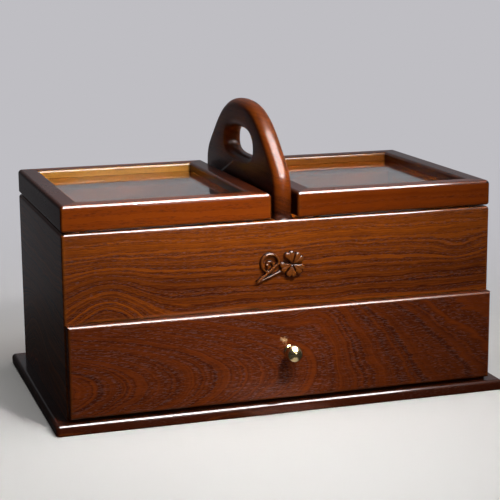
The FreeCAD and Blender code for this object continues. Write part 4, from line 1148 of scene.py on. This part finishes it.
def sweep_sheet(ahead, start):
    """Floor and wall in one sheet, square to the camera's heading, in metres."""
    sheet = bmesh.new()
    across = Vector((ahead.y, -ahead.x, 0))
    bend, half_width, sunk = 0.4, 2.2, 0.2 * MM
    outline = [(-0.9, 0.0), (0.6, 0.0), (1.3, 0.0)]
    outline += [(1.36 + bend * math.sin(turn), bend - bend * math.cos(turn))
                for turn in (math.radians(5 * part) for part in range(19))]
    outline += [(1.76, 2.6)]
    verts = [sheet.verts.new(start + ahead * out + Vector((0, 0, up)) - across * half_width)
             for out, up in outline]
    edges = [sheet.edges.new(pair) for pair in zip(verts, verts[1:])]
    grown = bmesh.ops.extrude_edge_only(sheet, edges=edges)["geom"]
    bmesh.ops.translate(sheet, vec=across * (half_width * 2),
                        verts=[item for item in grown if isinstance(item, bmesh.types.BMVert)])
    bmesh.ops.translate(sheet, verts=sheet.verts, vec=(0, 0, -sunk))
    return sheet


def backdrop_material(ahead, start):
    """Pale floor that keeps the shadow and fades into an even grey wall.

    The camera sees the floor's own colour, also through glass. To the box it is dark, apart
    from a patch in front of the knob, so that its light doesn't wash out the stain.
    """
    look = stage()
    material, net, shader = new_material("studio_sweep")
    path = net.outs("ShaderNodeLightPath", {})
    place = net.place()
    x, y, _ = net.parts(place)
    far = net.out("ShaderNodeVectorMath", {0: net.vector("SUBTRACT", place, start), 1: ahead},
                  "Value", operation="DOT_PRODUCT")
    nearby = net.step(y, -0.20, -0.16) * net.fall(y, -0.10, 0.02)
    nearby = nearby * net.fall(net.math("ABSOLUTE", x), 0.015, 0.04)
    unseen = net.mix(nearby, look.floor * 0.06, look.floor * 0.95)
    through = path["Is Transmission Ray"] * net.math("LESS_THAN", path["Diffuse Depth"], 0.5)
    plain = net.math("MAXIMUM", path["Is Camera Ray"], through)
    net.fill(shader, {"Base Color": net.mix(plain, unseen, look.floor), "Roughness": 0.9,
                      "Specular IOR Level": 0.1})
    mirrored = net.math("MAXIMUM", path["Is Glossy Ray"], path["Is Transmission Ray"])
    mirrored = mirrored * net.step(x, -0.42, 0.05, 0.03, 0.56)
    glow = net.out("ShaderNodeEmission", {
        "Color": look.backdrop, "Strength": net.math("MAXIMUM", plain, mirrored)})
    sheet = net.out("ShaderNodeMixShader", {
        0: net.step(far, 1.22, 1.62), 1: Signal(net, shader.outputs[0]), 2: glow})
    behind = net.out("ShaderNodeNewGeometry", {}, "Backfacing")
    one_sided = net.out("ShaderNodeMixShader", {
        0: behind, 1: sheet, 2: net.out("ShaderNodeBsdfTransparent", {})})
    surface = next(node for node in material.node_tree.nodes if node.type == "OUTPUT_MATERIAL")
    net.fill(surface, {"Surface": one_sided})
    return material


def receivers(name, floor, state):
    """A light linking collection that includes or excludes the floor."""
    linked = bpy.data.collections.new(name)
    linked.objects.link(floor)
    linked.collection_objects[0].light_linking.link_state = state
    return linked


def room(look):
    """A world that shows the wall's colour and lights the box faintly."""
    world = bpy.data.worlds.new("room")
    world.use_nodes = True
    net = Net(world.node_tree)
    background = next(node for node in world.node_tree.nodes if node.type == "BACKGROUND")
    seen = net.out("ShaderNodeLightPath", {}, "Is Camera Ray")
    net.fill(background, {"Color": net.mix(seen, ROOM_SHADE, look.backdrop),
                          "Strength": seen * (1 - look.world) + look.world})
    return world


def placed_camera(lens):
    """The camera in its place, turned by its yaw, pitch and roll."""
    camera = bpy.data.cameras.new("photo_camera")
    camera.lens = lens
    camera.sensor_width = 36
    camera.clip_start, camera.clip_end = 0.05, 20
    item = bpy.data.objects.new("photo_camera", camera)
    ahead = Vector((math.sin(YAW) * math.cos(PITCH), math.cos(YAW) * math.cos(PITCH),
                    math.sin(PITCH)))
    side = Vector((math.cos(YAW), -math.sin(YAW), 0))
    up = side.cross(ahead)
    right = side * math.cos(ROLL) + up * math.sin(ROLL)
    above = up * math.cos(ROLL) - side * math.sin(ROLL)
    turned = Matrix((right, above, -ahead)).transposed().to_4x4()
    item.matrix_world = Matrix.Translation(CAMERA_PLACE) @ turned
    bpy.context.scene.collection.objects.link(item)
    return item


class SEWINGBOX_OT_stage(bpy.types.Operator):
    """Set up the floor, the backdrop, the soft lights and the camera"""

    bl_idname = "sewingbox.stage"
    bl_label = "Stage"

    def execute(self, context):
        look = stage()
        scene = context.scene
        ahead = Vector((math.sin(YAW), math.cos(YAW), 0))
        start = Vector((CAMERA_PLACE.x, CAMERA_PLACE.y, 0))
        mesh = bpy.data.meshes.new("studio_sweep")
        sheet = sweep_sheet(ahead, start)
        sheet.to_mesh(mesh)
        sheet.free()
        mesh.materials.append(backdrop_material(ahead, start))
        mesh.shade_smooth()
        floor = bpy.data.objects.new("studio_sweep", mesh)
        scene.collection.objects.link(floor)

        powers = (look.front, look.key, look.strip, look.overhead, look.fill, look.fill * 0.5)
        front, key, strip, above, behind, right = map(soft_light, LAMPS, powers)
        front.data.spread = key.data.spread = SOFTBOX_SPREAD
        strip.visible_diffuse = False
        strip.data.cycles.max_bounces = 0
        above.light_linking.receiver_collection = receivers("floor_only", floor, "INCLUDE")
        all_but_floor = receivers("all_but_floor", floor, "EXCLUDE")
        for lamp in (behind, right):
            lamp.light_linking.receiver_collection = all_but_floor
            lamp.visible_glossy = lamp.visible_transmission = False

        scene.world = room(look)
        scene.camera = placed_camera(look.lens)
        scene.view_settings.view_transform = "Standard"
        return {"FINISHED"}


PIECES = (SEWINGBOX_OT_case, SEWINGBOX_OT_inside, SEWINGBOX_OT_lids, SEWINGBOX_OT_drawer_front,
          SEWINGBOX_OT_handle, SEWINGBOX_OT_ornament, SEWINGBOX_OT_knob, SEWINGBOX_OT_screws,
          SEWINGBOX_OT_fittings, SEWINGBOX_OT_stage)
SETTINGS = {"sewing_box_finish": SEWINGBOX_PG_finish,
            "sewing_box_measures": SEWINGBOX_PG_measures,
            "sewing_box_stage": SEWINGBOX_PG_stage}


class SEWINGBOX_PT_panel(bpy.types.Panel):
    """Lists the pieces of the sewing box and their settings"""

    bl_idname = "SEWINGBOX_PT_panel"
    bl_label = "Sewing Box"
    bl_space_type = "VIEW_3D"
    bl_region_type = "UI"
    bl_category = "Sewing Box"

    def draw(self, context):
        for label in SETTINGS:
            settings = getattr(context.scene, label)
            part = self.layout.box()
            for name in settings.bl_rna.properties.keys():
                if name not in ("rna_type", "name"):
                    part.prop(settings, name)
        for piece in PIECES:
            self.layout.operator(piece.bl_idname)


CLASSES = (*SETTINGS.values(), *PIECES, SEWINGBOX_PT_panel)


def register():
    """Registers the classes and gives the scene their settings."""
    for item in CLASSES:
        bpy.utils.register_class(item)
    for label, settings in SETTINGS.items():
        setattr(bpy.types.Scene, label, PointerProperty(type=settings))


def unregister():
    """Takes the settings and the classes away."""
    for label in SETTINGS:
        delattr(bpy.types.Scene, label)
    for item in reversed(CLASSES):
        bpy.utils.unregister_class(item)


def main():
    """Builds every piece."""
    register()
    for piece in PIECES:
        group, name = piece.bl_idname.split(".")
        getattr(getattr(bpy.ops, group), name)()


if __name__ == "__main__":
    main()
